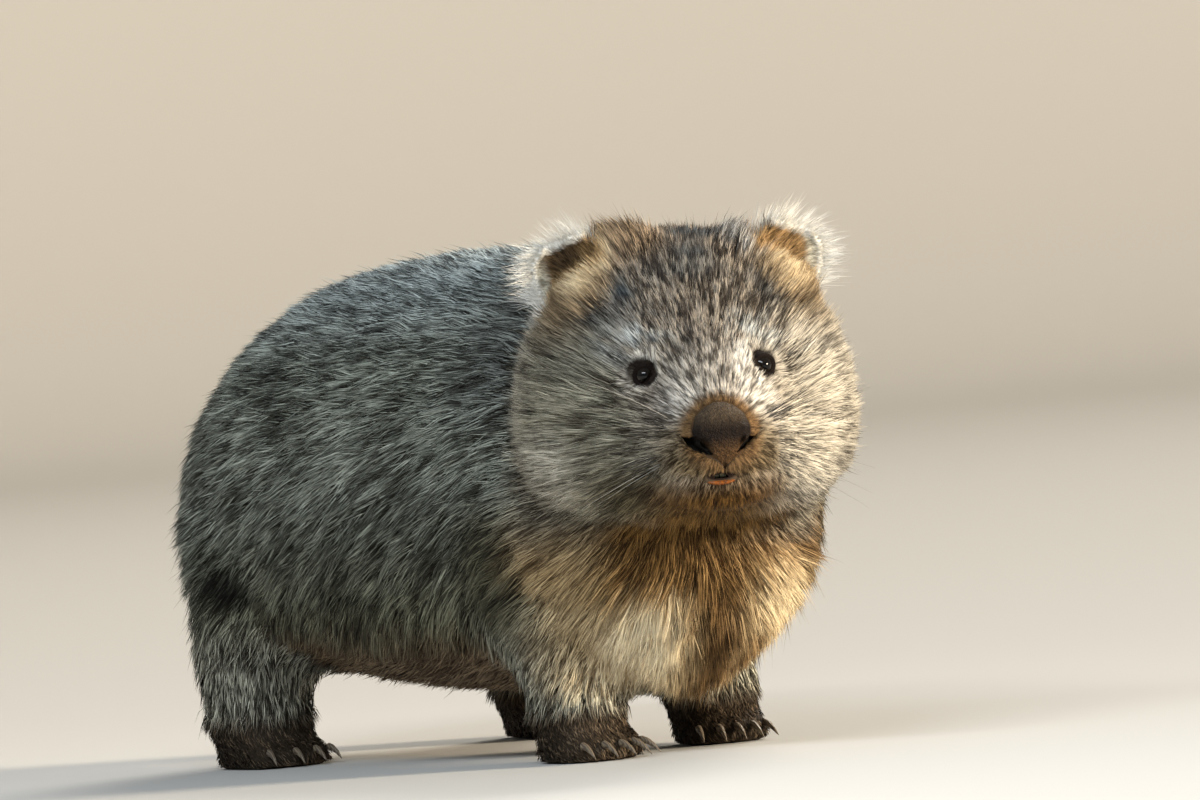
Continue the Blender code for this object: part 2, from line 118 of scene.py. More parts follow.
def streaksAt(points, flow, size, reach, seed):
    # noise drawn out along the lie of the coat, about 1 on average in size
    table = noiseTable(seed)
    total = np.zeros(len(points))
    steps = np.linspace(-1, 1, 17)
    for step in steps:
        place = (points + flow * (reach * step)[:, None]) / size + 200
        cell = np.floor(place).astype(int) % noiseSide
        total += table[cell[:, 0], cell[:, 1], cell[:, 2]]
    return total / len(steps) * 6.0


def unit(vectors):
    return vectors / np.maximum(np.linalg.norm(vectors, axis=1, keepdims=True), 1e-9)


def blend(values, mask, other):
    # takes rows of values over to another value where the mask is 1
    return values + mask[:, None] * (np.array(other) - values)


# Meshes in and out of arrays, and the small helpers that every piece uses

def newObject(name, mesh):
    obj = bpy.data.objects.new(name, mesh)
    bpy.context.scene.collection.objects.link(obj)
    return obj


def objectFrom(bm, name):
    mesh = bpy.data.meshes.new(name)
    bm.to_mesh(mesh)
    bm.free()
    return newObject(name, mesh)


def bakeModifiers(obj):
    graph = bpy.context.evaluated_depsgraph_get()
    mesh = bpy.data.meshes.new_from_object(obj.evaluated_get(graph))
    obj.modifiers.clear()
    obj.data = mesh
    return obj


def remeshed(obj, voxel, smoothing):
    again = obj.modifiers.new("fuse", "REMESH")
    again.mode = "VOXEL"
    again.voxel_size = voxel
    if smoothing:
        soften = obj.modifiers.new("soften", "SMOOTH")
        soften.factor = 0.5
        soften.iterations = smoothing
    return bakeModifiers(obj)


def cutWith(obj, cutter, operation):
    cut = obj.modifiers.new("cut", "BOOLEAN")
    cut.object = cutter
    cut.operation = operation
    cut.solver = "EXACT"
    bakeModifiers(obj)
    bpy.data.objects.remove(cutter)


def pointsOf(mesh, kind="co"):
    flat = np.empty(len(mesh.vertices) * 3, np.float32)
    if kind == "co":
        mesh.vertices.foreach_get("co", flat)
    else:
        mesh.vertex_normals.foreach_get("vector", flat)
    return flat.reshape(-1, 3).astype(float)


def setPoints(mesh, points):
    mesh.vertices.foreach_set("co", points.astype(np.float32).ravel())
    mesh.update()


def paint(mesh, name, colours):
    layer = mesh.color_attributes.new(name, "FLOAT_COLOR", "POINT")
    four = np.ones((len(colours), 4), np.float32)
    four[:, :3] = colours
    layer.data.foreach_set("color", four.ravel())


def copyNodes(names, name, outward):
    # merged copies of CAD nodes in one object, each grown a little so that they overlap
    whole = bmesh.new()
    for node in names:
        part = bmesh.new()
        part.from_mesh(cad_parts[node].data)
        bmesh.ops.remove_doubles(part, verts=part.verts, dist=1e-5)
        part.normal_update()
        for v in part.verts:
            v.co += v.normal * outward
        mesh = bpy.data.meshes.new("part")
        part.to_mesh(mesh)
        part.free()
        whole.from_mesh(mesh)
        bpy.data.meshes.remove(mesh)
    return objectFrom(whole, name)


def softenVerts(bm, chosen, rounds):
    for _ in range(rounds):
        bmesh.ops.smooth_vert(bm, verts=chosen, factor=0.5,
                              use_axis_x=True, use_axis_y=True, use_axis_z=True)


def reshape(obj, work):
    # opens a piece's mesh, lets work change it, and writes it back
    bm = bmesh.new()
    bm.from_mesh(obj.data)
    work(bm)
    bm.to_mesh(obj.data)
    bm.free()


def handIn(piece, nodes=()):
    # hides the CAD nodes that a piece stands for, and puts the piece on the body it rides on
    if nodes:
        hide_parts(*nodes)
    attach(piece, "root")


# Camera, at the photo's viewing angle: the eyes' middle falls on photoEyes

cameraPlan = {"azimuth": -27.0, "elevation": 1.0, "roll": 5.03, "distance": 9.0,
              "focalPixels": 12600.0, "photoSize": (1200, 800), "photoEyes": (703.5, 368.5),
              "sensor": 36.0}


def aimCamera(plan):
    a, e, r = (math.radians(plan[key]) for key in ("azimuth", "elevation", "roll"))
    back = Vector((math.sin(a) * math.cos(e), -math.cos(a) * math.cos(e), math.sin(e)))
    right = Vector((math.cos(a), math.sin(a), 0))
    up = back.cross(right)
    right, up = right * math.cos(r) - up * math.sin(r), right * math.sin(r) + up * math.cos(r)
    width, height = plan["photoSize"]
    metresPerPixel = plan["distance"] / plan["focalPixels"]
    across = (plan["photoEyes"][0] - width / 2) * metresPerPixel
    rise = (height / 2 - plan["photoEyes"][1]) * metresPerPixel
    place = browPoint + back * plan["distance"] - right * across - up * rise
    lens = bpy.data.cameras.new("photoCamera")
    lens.sensor_width = plan["sensor"]
    lens.lens = plan["sensor"] * plan["focalPixels"] / width
    lens.clip_end = 200.0
    camera = bpy.data.objects.new("photoCamera", lens)
    bpy.context.scene.collection.objects.link(camera)
    camera.matrix_world = Matrix((
        (right.x, up.x, back.x, place.x),
        (right.y, up.y, back.y, place.y),
        (right.z, up.z, back.z, place.z),
        (0, 0, 0, 1)))
    bpy.context.scene.camera = camera
    return back, Vector((math.cos(a), math.sin(a), 0))


towardsCamera, imageRight = aimCamera(cameraPlan)

# Plain soft studio: a low warm key from the image's right, a wide cool softbox before the
# animal, a soft rim from behind. Each lamp stands "turn" degrees to the camera's right.

lightPlan = {
    "key": {"turn": 64.0, "height": 14.0, "strength": 5.8, "spread": 12.0,
            "colour": (1.0, 0.85, 0.64)},
    "rim": {"turn": 150.0, "height": 40.0, "strength": 2.0, "spread": 30.0,
            "colour": (1.0, 0.94, 0.84)},
    "softbox": {"turn": -24.0, "height": 40.0, "power": 40.0, "wide": 1.7, "tall": 0.42,
                "away": 2.3, "colour": (0.86, 0.94, 1.0)},
}
studioPlan = {"worldColour": (0.90, 0.95, 1.0), "worldStrength": 0.29,
              "floorColour": (0.56, 0.55, 0.53), "floorRoughness": 0.9, "floorHalf": 16.0,
              "wallAway": 13.0, "bend": 3.0, "wallHeight": 5.0,
              "lampsAimAt": (-0.03, -0.25, 0.22), "lampsAway": 5.0}


def addLight(name, plan):
    flatShape = "power" in plan
    lamp = bpy.data.lights.new(name, "AREA" if flatShape else "SUN")
    if flatShape:
        lamp.shape = "RECTANGLE"
        lamp.size = plan["wide"]
        lamp.size_y = plan["tall"]
        lamp.energy = plan["power"]
    else:
        lamp.energy = plan["strength"]
        lamp.angle = math.radians(plan["spread"])
    lamp.color = plan["colour"]
    obj = bpy.data.objects.new(name, lamp)
    bpy.context.scene.collection.objects.link(obj)
    turn, height = math.radians(plan["turn"]), math.radians(plan["height"])
    flat = Vector((towardsCamera.x, towardsCamera.y, 0)).normalized()
    way = (flat * math.cos(turn) + imageRight * math.sin(turn)) * math.cos(height)
    way.z = math.sin(height)
    obj.rotation_euler = way.to_track_quat("Z", "Y").to_euler()
    away = plan.get("away", studioPlan["lampsAway"])
    obj.location = Vector(studioPlan["lampsAimAt"]) + way * away


def addSweep(plan):
    # a floor that bends up into a wall far behind the animal
    bm = bmesh.new()
    bmesh.ops.create_grid(bm, x_segments=8, y_segments=120, size=1.0)
    behind = Vector((-towardsCamera.x, -towardsCamera.y, 0)).normalized()
    bendLength = plan["bend"] * math.pi / 2
    total = plan["floorHalf"] + plan["wallAway"] + bendLength + plan["wallHeight"]
    for v in bm.verts:
        along = (v.co.y + 1) / 2 * total - plan["floorHalf"]
        past = along - plan["wallAway"]
        angle = min(max(past / plan["bend"], 0.0), math.pi / 2)
        away = min(along, plan["wallAway"]) + plan["bend"] * math.sin(angle)
        height = plan["bend"] * (1 - math.cos(angle)) + max(past - bendLength, 0.0)
        aside = v.co.x * plan["floorHalf"]
        v.co = behind * away + imageRight * aside + Vector((0, 0, height))
    return objectFrom(bm, "studioSweep")


def addStudio(plan):
    for name, light in lightPlan.items():
        addLight(name + "Light", light)
    world = bpy.data.worlds.new("studioWorld")
    world.use_nodes = True
    sky = world.node_tree.nodes["Background"]
    sky.inputs["Color"].default_value = (*plan["worldColour"], 1)
    sky.inputs["Strength"].default_value = plan["worldStrength"]
    bpy.context.scene.world = world
    floor = addSweep(plan)
    finish = bpy.data.materials.new("floorPaint")
    finish.use_nodes = True
    shader = finish.node_tree.nodes["Principled BSDF"]
    shader.inputs["Base Color"].default_value = (*plan["floorColour"], 1)
    shader.inputs["Roughness"].default_value = plan["floorRoughness"]
    floor.data.shade_smooth()
    floor.data.materials.append(finish)
    bpy.context.scene.view_settings.view_transform = "Standard"


addStudio(studioPlan)
print("camera and studio ready")

# Ears: each pinna is a cupped leaf in its own axes, across (to the animal's left), back and up

earPlan = {
    "base": (-0.100, 0.064), "turn": 18.0,
    "poses": {"right": (0.044, 20.0), "left": (0.042, 23.0)},  # rise of the base, and lean out
    "height": 0.057, "halfWidth": 0.0270, "cup": 0.012, "thickness": 0.0026, "root": 0.30,
    "squareTop": 7.0,  # the higher, the squarer the ear's top
}


def earMatrix(side, sign):
    rise, lean = earPlan["poses"][side]
    back, out = earPlan["base"]
    axes = Matrix((headLeft, -headForward, headUp)).transposed().to_4x4()
    turn = (Matrix.Rotation(sign * math.radians(lean), 4, "Y")
            @ Matrix.Rotation(sign * math.radians(earPlan["turn"]), 4, "Z"))
    return Matrix.Translation(headPoint(back, sign * out, rise)) @ axes @ turn


earFrames = {side: earMatrix(side, sign) for _, side, sign in sides}


def inEar(points, side):
    frameBack = np.array(earFrames[side].inverted())
    return points @ frameBack[:3, :3].T + frameBack[:3, 3]


def addPinna(side):
    # a sheet narrowed at its root, hollowed along its middle and bent back at its tip
    plan = earPlan
    bm = bmesh.new()
    bmesh.ops.create_grid(bm, x_segments=22, y_segments=26, size=1.0)
    for v in bm.verts:
        across, rise = v.co.x, (v.co.y + 1) / 2 * (1 + plan["root"]) - plan["root"]
        full = max(rise, 0.0)
        half = plan["halfWidth"] * math.sqrt(max(1 - full ** plan["squareTop"], 0.09))
        half *= 0.90 + 0.10 * min(1, max(0, (rise + plan["root"]) / 0.7))
        hollow = plan["cup"] * (1 - across * across) * (1.05 - 0.55 * full)
        fold = 0.004 * full * full
        v.co = (across * half, hollow - plan["cup"] * 0.6 - fold, rise * plan["height"])
    bm.normal_update()
    bmesh.ops.solidify(bm, geom=bm.faces[:], thickness=plan["thickness"])
    bmesh.ops.recalc_face_normals(bm, faces=bm.faces)
    rim = [v for v in bm.verts if v.co.z > 0]
    softenVerts(bm, rim, 2)
    bmesh.ops.transform(bm, matrix=earFrames[side], verts=bm.verts)
    return objectFrom(bm, "pinna")


# The eyeball shows a little further in and lower than the middle of its socket. Its dark ring
# is an oval, moved outwards and up and grown on each side by the three numbers of "ring".

eyePlan = {"ring": {"right": (0.0010, 0.0010, 1.0), "left": (-0.0006, -0.0004, 1.05)},
           "slant": (0.94, 0.34), "bareEdge": {"right": 0.0019, "left": 0.0027},
           "inward": 0.0014, "down": 0.0011, "dome": 0.0006, "irisAngle": 34.0,
           "pupil": (0.002, 0.002, 0.002), "iris": (0.006, 0.004, 0.002),
           "white": (0.008, 0.006, 0.004)}


def eyeCentre(side, sign):
    return boxMiddle(f"eye_{side}") - headLeft * (sign * eyePlan["inward"]) - headUp * eyePlan["down"]


# Skin: one closed surface under the coat, as deep inside the CAD outline as the coat is thick

fleshNodes = ["head", "lower_jaw", "neck", "shoulders", "belly", "rump", "tail"]
fleshNodes += [f"{end}_{part}_{side}" for end in ("front", "hind") for part in ("leg", "foot")
               for side in ("left", "right")]
fillNodes = ["nose", "eye_left", "eye_right", "upper_incisor_left", "upper_incisor_right",
             "lower_incisor_left", "lower_incisor_right"]

# For each region in mm: how deep the skin lies, how far hairs rise, their length and width.
# The last number is how much neighbouring hairs differ in tone, in thousandths.
coatColumns = ("depth", "rise", "length", "width", "contrast")
coatPlan = {
    "body": (16.0, 10.0, 31.0, 0.84, 500),
    "belly": (13.0, 9.0, 26.0, 0.95, 380),
    "rump": (20.0, 10.0, 30.0, 0.84, 500),
    "chest": (17.0, 13.5, 40.0, 0.78, 460),
    "leg": (9.0, 8.0, 20.0, 0.90, 440),
    "foot": (2.6, 2.2, 8.0, 0.70, 250),
    "tail": (8.0, 6.5, 18.0, 0.90, 380),
    "neck": (16.0, 12.0, 33.0, 0.78, 460),
    "cheek": (14.0, 10.5, 28.0, 0.58, 340),
    "crown": (10.5, 9.6, 17.0, 0.52, 520),
    "forehead": (7.0, 6.2, 13.0, 0.46, 500),
    "bridge": (3.6, 3.0, 9.0, 0.40, 290),
    "muzzle": (2.6, 1.9, 5.2, 0.34, 240),
    "noseRim": (1.2, 1.4, 4.4, 0.32, 110),
    "eyeRing": (3.6, 2.4, 3.2, 0.34, 80),
    "tuft": (2.5, 18.0, 27.0, 0.48, 330),
    "earGuard": (5.0, 9.5, 24.0, 0.46, 330),
}
noseMiddle = np.array([0.064, 0.0, -0.046])  # in the head's axes


def eyeMask(points, across, tall, soft):
    # 1 on a slanting oval round each eye as seen from the front, 0 outside it
    mask = np.zeros(len(points))
    head = inHead(points)
    steep, flat = eyePlan["slant"]
    for _, side, sign in sides:
        away = head - inHead(np.array([eyeCentre(side, sign)]))
        outward, upward, grown = eyePlan["ring"][side]
        level, rise = away[:, 1] * sign - outward, away[:, 2] - upward
        long, short = rise * steep + level * flat, level * steep - rise * flat
        far = np.hypot(short / across, long / tall) / grown
        near = 1 - ease(np.linalg.norm(away, axis=1), 0.017, 0.022)
        mask = np.maximum(mask, (1 - ease(far, 1 - soft, 1 + soft)) * near)
    return mask


def mirror(head):
    # the left half's places for points on both halves of the head
    return np.stack([head[:, 0], np.abs(head[:, 1]), head[:, 2]], 1)


def bodyRegions(points, normals):
    x, y, z = points.T
    leg = np.zeros(len(points))
    for foot in feet:
        away = np.hypot(x - foot.x, y - foot.y - 0.006)
        leg = np.maximum(leg, (1 - ease(away, 0.062, 0.090)))
    return {
        "rump": ease(y, rumpEnd - 0.20, rumpEnd - 0.08),
        "belly": ease(-normals[:, 2], 0.25, 0.75) * (1 - ease(z, 0.10, 0.18)),
        "neck": (1 - ease(y, -0.22, -0.13)) * ease(z, 0.13, 0.20),
        "chest": ((1 - ease(y, -0.20, -0.14)) * (1 - ease(z, 0.155, 0.200))
                  * ease(z, 0.04, 0.07)),
        "leg": leg * (1 - ease(z, 0.085, 0.135)),
        "foot": leg * (1 - ease(z, 0.030, 0.050)),
        "tail": blob(points, tailRoot, (0.03, 0.03, 0.03)),
    }


def headRegions(points):
    head = inHead(points)
    forward, left, up = head.T
    onHead = ease(forward, -0.165, -0.115) * ease(up, -0.135, -0.108)
    high = ease(up + 0.75 * (forward + 0.045), 0.0, 0.035)
    tuft = (blob(head, (-0.092, -0.044, 0.088), (0.030, 0.024, 0.020), 0.5)
            + 0.60 * blob(head, (-0.092, 0.048, 0.086), (0.030, 0.020, 0.020), 0.5))
    besideEar = blob(mirror(head), (-0.074, 0.074, 0.060), (0.030, 0.026, 0.026), 0.4)
    return {
        "cheek": onHead,
        "crown": onHead * ease(up, 0.035, 0.070),
        "forehead": (onHead * (1 - ease(np.abs(left), 0.040, 0.075)) * high
                     * ease(forward, -0.090, -0.045)),
        "earGuard": onHead * besideEar,
        "tuft": onHead * tuft,
        "bridge": blob(head, (0.030, 0, -0.018), (0.048, 0.032, 0.034), 0.40),
        "muzzle": blob(head, (0.058, 0, -0.064), (0.045, 0.040, 0.038), 0.40),
        "noseRim": blob(head, noseMiddle, (0.034, 0.0275, 0.0275), 0.16),
        "eyeRing": eyeMask(points, 0.0116, 0.0122, 0.25),
    }


def regionMasks(points, normals):
    # how far each point belongs to each region; later ones lie over earlier ones
    return {**bodyRegions(points, normals), **headRegions(points)}


def coatValue(masks, columnName):
    column = coatColumns.index(columnName)
    value = np.full(len(masks["rump"]), coatPlan["body"][column])
    for region, mask in masks.items():
        value = value + mask * (coatPlan[region][column] - value)
    return value / 1000


def splitEdges(bm, test):
    chosen = [e for e in bm.edges if test(e.verts[0].co) and test(e.verts[1].co)]
    bmesh.ops.subdivide_edges(bm, edges=chosen, cuts=1, use_grid_fill=True)


# Angles in degrees from the middle of the opening; "reach" is in eyeball radii
lidPlan = {"openWide": 50.0, "openHigh": 45.0, "edge": 8.0, "width": 34.0,
           "thickness": 0.0013, "swell": 0.0009, "behind": 0.55, "reach": (1.30, 1.85),
           "facing": (0.92, 0.30, -0.08)}


def shapeLids(points):
    # draws the skin over each eyeball as two lids round a nearly round opening
    plan = lidPlan
    for _, side, sign in sides:
        centre = np.array(eyeCentre(side, sign))
        ahead, out, rise = plan["facing"]
        axis = np.array(headForward) * ahead + np.array(headLeft) * sign * out
        axis = axis + np.array(headUp) * rise
        axis /= np.linalg.norm(axis)
        across = np.cross(axis, (0, 0, 1))
        across /= np.linalg.norm(across)
        upright = np.cross(across, axis)
        away = points - centre
        far = np.linalg.norm(away, axis=1)
        angle = np.degrees(np.arccos(np.clip(away @ axis / np.maximum(far, 1e-9), -1, 1)))
        level, tall = away @ across, away @ upright
        slant = np.hypot(level, tall) + 1e-9
        opening = 1 / np.hypot(level / slant / plan["openWide"], tall / slant / plan["openHigh"])
        covered = ease(angle, opening - plan["edge"], opening + plan["edge"])
        swell = 1 - np.abs(ease(angle, opening, opening + plan["width"]) - 0.35)
        lid = eyeRadius + plan["thickness"] + plan["swell"] * swell
        behind = eyeRadius * plan["behind"]
        wanted = behind + covered * (lid - behind)
        first, last = plan["reach"]
        hold = (1 - ease(far / eyeRadius, first, last)) * (away @ axis > -0.002)
        far = np.maximum(far, 1e-6)
        points = centre + away * ((far + hold * (wanted - far)) / far)[:, None]
    return points


# The nostril is a dark wedge under each wing of the nose pad: left and up in the head's axes
nostrilPlan = {"outer": (0.0268, -0.0468), "inner": (0.0092, -0.0598), "halfWidth": 0.0047,
               "leftShare": 0.46, "depth": 0.0095, "padDepth": 0.0062}


def nostrilMask(head):
    plan = nostrilPlan
    closest = np.full(len(head), 1.0)
    for t in np.linspace(0, 1, 15):
        level = plan["outer"][0] + t * (plan["inner"][0] - plan["outer"][0])
        rise = plan["outer"][1] + t * (plan["inner"][1] - plan["outer"][1])
        wide = plan["halfWidth"] * (0.22 + 0.78 * math.sin(math.pi * t ** 0.9) ** 1.2)
        wide = np.where(head[:, 1] < 0, wide, wide * plan["leftShare"])
        far = np.hypot(np.abs(head[:, 1]) - level, head[:, 2] - rise) / wide
        closest = np.minimum(closest, far / 2)
    return (1 - ease(closest, 0.34, 0.60)) * ease(head[:, 0], 0.030, 0.042)


# The mouth stands a little open and a little to the animal's right, as if chewing
mouthPlan = {"place": (0.0565, -0.0034, -0.0757), "radii": (0.0104, 0.0150, 0.0033),
             "droop": 0.0032, "lipHeight": -0.0808, "lipCurve": 0.0012, "lipHalf": 0.0017}


def lipMask(head):
    # the moist lower lip, a crescent below the gap
    plan = mouthPlan
    left = (head[:, 1] - plan["place"][1]) / (plan["radii"][0] * 0.96)
    middle = plan["lipHeight"] + plan["lipCurve"] * left ** 2
    half = plan["lipHalf"] * np.sqrt(np.clip(1 - left ** 2, 0.0, 1)) + 1e-6
    return ((1 - ease(np.abs(head[:, 2] - middle) / half, 0.85, 1.15)) * (np.abs(left) < 1)
            * ease(head[:, 0], 0.035, 0.042))


# How far each feature stands out, or goes in, in metres
muzzlePlan = {"pads": 0.0016, "cleft": 0.0026, "lip": 0.0034, "fold": 0.0010, "underPad": 0.0045}


def shapeMuzzle(points):
    # the cleft under the nose, the swell of the upper lips, the lower lip and the fold below it
    head = inHead(points)
    forward, left, up = head.T
    front = ease(forward, 0.030, 0.048)
    cleft = np.exp(-(left / 0.0013) ** 2) * ease(-up, 0.060, 0.064) * (1 - ease(-up, 0.073, 0.076))
    pads = np.exp(-((np.abs(left) - 0.011) / 0.008) ** 2 - ((up + 0.069) / 0.006) ** 2)
    across = left - mouthPlan["place"][1]
    lip = np.exp(-((up + 0.0812 - 12 * across ** 2) / 0.0026) ** 2 - (across / 0.0110) ** 4)
    fold = np.exp(-((up + 0.0895) / 0.0022) ** 2 - (across / 0.0100) ** 4)
    plan = muzzlePlan
    push = (plan["pads"] * pads - plan["cleft"] * cleft + plan["lip"] * lip
            - plan["fold"] * fold)
    push = front * (push - nostrilPlan["depth"] * nostrilMask(head))
    underPad = 1 - ease(np.hypot(left / 0.0190, (up + 0.0455) / 0.0185), 0.80, 1.0)
    push = push - plan["underPad"] * underPad * front
    return points + push[:, None] * np.array(headForward)


# Where the muzzle stands out beyond the plain wedge of the head: bridge, jaw and side,
# each with its height, middle and radii
fullSpots = ((0.0065, (0.028, 0.0, -0.006), (0.034, 0.034, 0.030)),
             (0.0070, (0.036, 0.014, -0.092), (0.034, 0.034, 0.020)),
             (0.0030, (0.040, 0.036, -0.055), (0.030, 0.016, 0.026)))


def fullness(points):
    mirrored = mirror(inHead(points))
    return sum(height * blob(mirrored, middle, radii, 0.8)
               for height, middle, radii in fullSpots)


def mouthCutter():
    plan = mouthPlan
    bm = bmesh.new()
    bmesh.ops.create_uvsphere(bm, u_segments=32, v_segments=20, radius=1.0)
    across, deep, tall = plan["radii"]
    ahead, aside, rise = plan["place"]
    for v in bm.verts:
        x, y, z = v.co
        v.co = headPoint(ahead - y * deep, aside + x * across, rise + z * tall - plan["droop"] * x * x)
    bmesh.ops.recalc_face_normals(bm, faces=bm.faces)
    return objectFrom(bm, "mouth")


skinPlan = {"overlap": 0.0005, "fuseVoxel": 0.0046, "voxel": 0.0042, "sole": (0.002, 0.012),
            "softening": 3}


def sinkUnderCoat(skin):
    # takes the surface in by the depth of the coat, but not at the soles
    points, normals = pointsOf(skin.data), pointsOf(skin.data, "normal")
    depth = coatValue(regionMasks(points, normals), "depth")
    sole = 1 - ease(points[:, 2], *skinPlan["sole"])
    inward = normals * ((depth - fullness(points)) * (1 - sole))[:, None]
    inward[:, 2] *= 1 - sole
    setPoints(skin.data, points - inward)


def faceZones():
    # tests for the parts of the face that get finer faces, from wide to narrow
    muzzle, brow = headPoint(0.050, 0, -0.060), headPoint(0.0, 0, -0.01)
    mouth = headPoint(0.060, 0, -0.062)
    eyes = [boxMiddle("eye_right"), boxMiddle("eye_left")]

    def onFace(co):
        return (co - muzzle).length < 0.055 or (co - brow).length < 0.070

    def onFeatures(co):
        return (co - muzzle).length < 0.042 or min((co - e).length for e in eyes) < 0.022

    def onLids(co):
        return min((co - e).length for e in eyes) < 0.0165 or (co - mouth).length < 0.030

    return onFace, onFeatures, onLids


def refineFace(bm):
    for test in faceZones():
        splitEdges(bm, test)
        softenVerts(bm, [v for v in bm.verts if test(v.co)], skinPlan["softening"])


def buildSkin():
    plan = skinPlan
    soleTop, rounds = plan["sole"][1], plan["softening"]
    skin = copyNodes(fleshNodes + fillNodes, "skin", plan["overlap"])
    remeshed(skin, plan["fuseVoxel"], 0)
    reshape(skin, lambda bm: softenVerts(bm, bm.verts, rounds))
    sinkUnderCoat(skin)
    remeshed(skin, plan["voxel"], 0)
    reshape(skin, lambda bm: softenVerts(bm, [v for v in bm.verts if v.co.z > soleTop], rounds))
    for _, side, _ in sides:
        cutWith(skin, addPinna(side), "UNION")
    reshape(skin, refineFace)
    cutWith(skin, mouthCutter(), "DIFFERENCE")
    points = shapeMuzzle(shapeLids(pointsOf(skin.data)))
    points[:, 2] = np.maximum(points[:, 2], 0.0)
    setPoints(skin.data, points)
    skin.data.shade_smooth()
    handIn(skin, (*fleshNodes, "ear_left", "ear_right"))
    return skin


skin = buildSkin()
print("skin:", len(skin.data.vertices), "points")

# Markings, the same for skin and coat; a few of them are painted shade, and one is partly painted
# light, as noted at each. Each entry is (dark hairs, pale hairs, share of pale)

markPlan = {
    "body": ((0.014, 0.013, 0.009), (0.415, 0.450, 0.390), 0.25),
    "back": ((0.020, 0.021, 0.020), (0.620, 0.700, 0.700), 0.42),
    "lowFlank": ((0.011, 0.009, 0.005), (0.260, 0.260, 0.175), 0.23),
    "rump": ((0.014, 0.013, 0.010), (0.440, 0.470, 0.405), 0.30),
    "nape": ((0.015, 0.014, 0.011), (0.265, 0.290, 0.270), 0.22),
    "collar": ((0.050, 0.027, 0.010), (0.560, 0.410, 0.215), 0.42),
    # earShade is painted shade in the top of the right ear's hollow
    "earShade": ((0.016, 0.010, 0.005), (0.170, 0.110, 0.060), 0.25),
    "temple": ((0.028, 0.018, 0.010), (0.450, 0.350, 0.225), 0.31),
    "jawPale": ((0.095, 0.082, 0.060), (0.860, 0.815, 0.700), 0.62),
    "darkSpot": ((0.006, 0.005, 0.004), (0.050, 0.050, 0.040), 0.12),
    "belly": ((0.050, 0.028, 0.014), (0.360, 0.260, 0.160), 0.35),
    "leg": ((0.026, 0.021, 0.014), (0.600, 0.590, 0.480), 0.42),
    "foot": ((0.024, 0.017, 0.011), (0.160, 0.115, 0.075), 0.36),
    "neck": ((0.026, 0.014, 0.005), (0.290, 0.185, 0.075), 0.30),
    # painted shade in the crease behind the right shoulder, between flank and chest
    "armpitShade": ((0.009, 0.008, 0.005), (0.170, 0.160, 0.105), 0.20),
    "chest": ((0.080, 0.044, 0.016), (0.780, 0.610, 0.360), 0.52),
    # the chest's top: rust fur, and painted paler as light where the head's shadow falls
    "chestTopRustAndLight": ((0.190, 0.090, 0.028), (1.000, 0.670, 0.330), 0.76),
    "chestPale": ((0.460, 0.320, 0.165), (1.000, 0.900, 0.660), 0.95),
    "chestPatch": ((0.024, 0.013, 0.005), (0.300, 0.170, 0.065), 0.24),
    "throat": ((0.032, 0.015, 0.004), (0.320, 0.180, 0.058), 0.33),
    "cheek": ((0.034, 0.026, 0.017), (0.765, 0.710, 0.605), 0.49),
    # cheekShade is painted shade: the animal's right cheek darker and greener than its left
    "cheekShade": ((0.021, 0.016, 0.008), (0.430, 0.405, 0.300), 0.34),
    "browPale": ((0.090, 0.095, 0.095), (0.800, 0.840, 0.820), 0.60),
    "cheekBack": ((0.024, 0.018, 0.012), (0.480, 0.440, 0.350), 0.35),
    "crown": ((0.024, 0.015, 0.009), (0.530, 0.390, 0.260), 0.27),
    "darkPatch": ((0.008, 0.009, 0.011), (0.110, 0.130, 0.140), 0.14),
    "forehead": ((0.026, 0.019, 0.014), (0.420, 0.360, 0.290), 0.31),
    "browLine": ((0.022, 0.017, 0.014), (0.240, 0.205, 0.170), 0.24),
    "bridge": ((0.050, 0.040, 0.030), (0.680, 0.615, 0.530), 0.42),
    "nosePale": ((0.150, 0.130, 0.105), (0.880, 0.840, 0.770), 0.66),
    "muzzle": ((0.042, 0.028, 0.014), (0.350, 0.275, 0.165), 0.35),
    # painted shadow under the cheeks beside the mouth, deeper on the right
    "jowlShadow": ((0.018, 0.012, 0.005), (0.220, 0.180, 0.095), 0.30),
    "chin": ((0.028, 0.012, 0.003), (0.240, 0.124, 0.034), 0.32),
    "upperLip": ((0.044, 0.027, 0.012), (0.290, 0.190, 0.090), 0.44),
    "noseRim": ((0.060, 0.033, 0.014), (0.330, 0.195, 0.088), 0.46),
    "eyePale": ((0.090, 0.075, 0.055), (0.800, 0.740, 0.640), 0.56),
    "eyeRing": ((0.005, 0.003, 0.002), (0.030, 0.018, 0.010), 0.22),
    "earGuard": ((0.042, 0.026, 0.013), (0.470, 0.345, 0.205), 0.37),
    "tuft": ((0.016, 0.010, 0.006), (0.460, 0.330, 0.210), 0.34),
    "tuftGrey": ((0.024, 0.024, 0.025), (0.660, 0.690, 0.690), 0.46),
    "golden": ((0.240, 0.140, 0.060), (1.000, 0.830, 0.540), 0.88),
    "earWhite": ((0.260, 0.260, 0.250), (0.860, 0.890, 0.880), 0.74),
    "earBack": ((0.300, 0.300, 0.285), (0.900, 0.920, 0.910), 0.82),
    "earHollow": ((0.060, 0.034, 0.014), (0.620, 0.400, 0.190), 0.46),
    "earBand": ((0.420, 0.380, 0.290), (0.920, 0.890, 0.760), 0.80),
    "earRim": ((0.560, 0.530, 0.460), (0.980, 0.970, 0.930), 0.95),
}


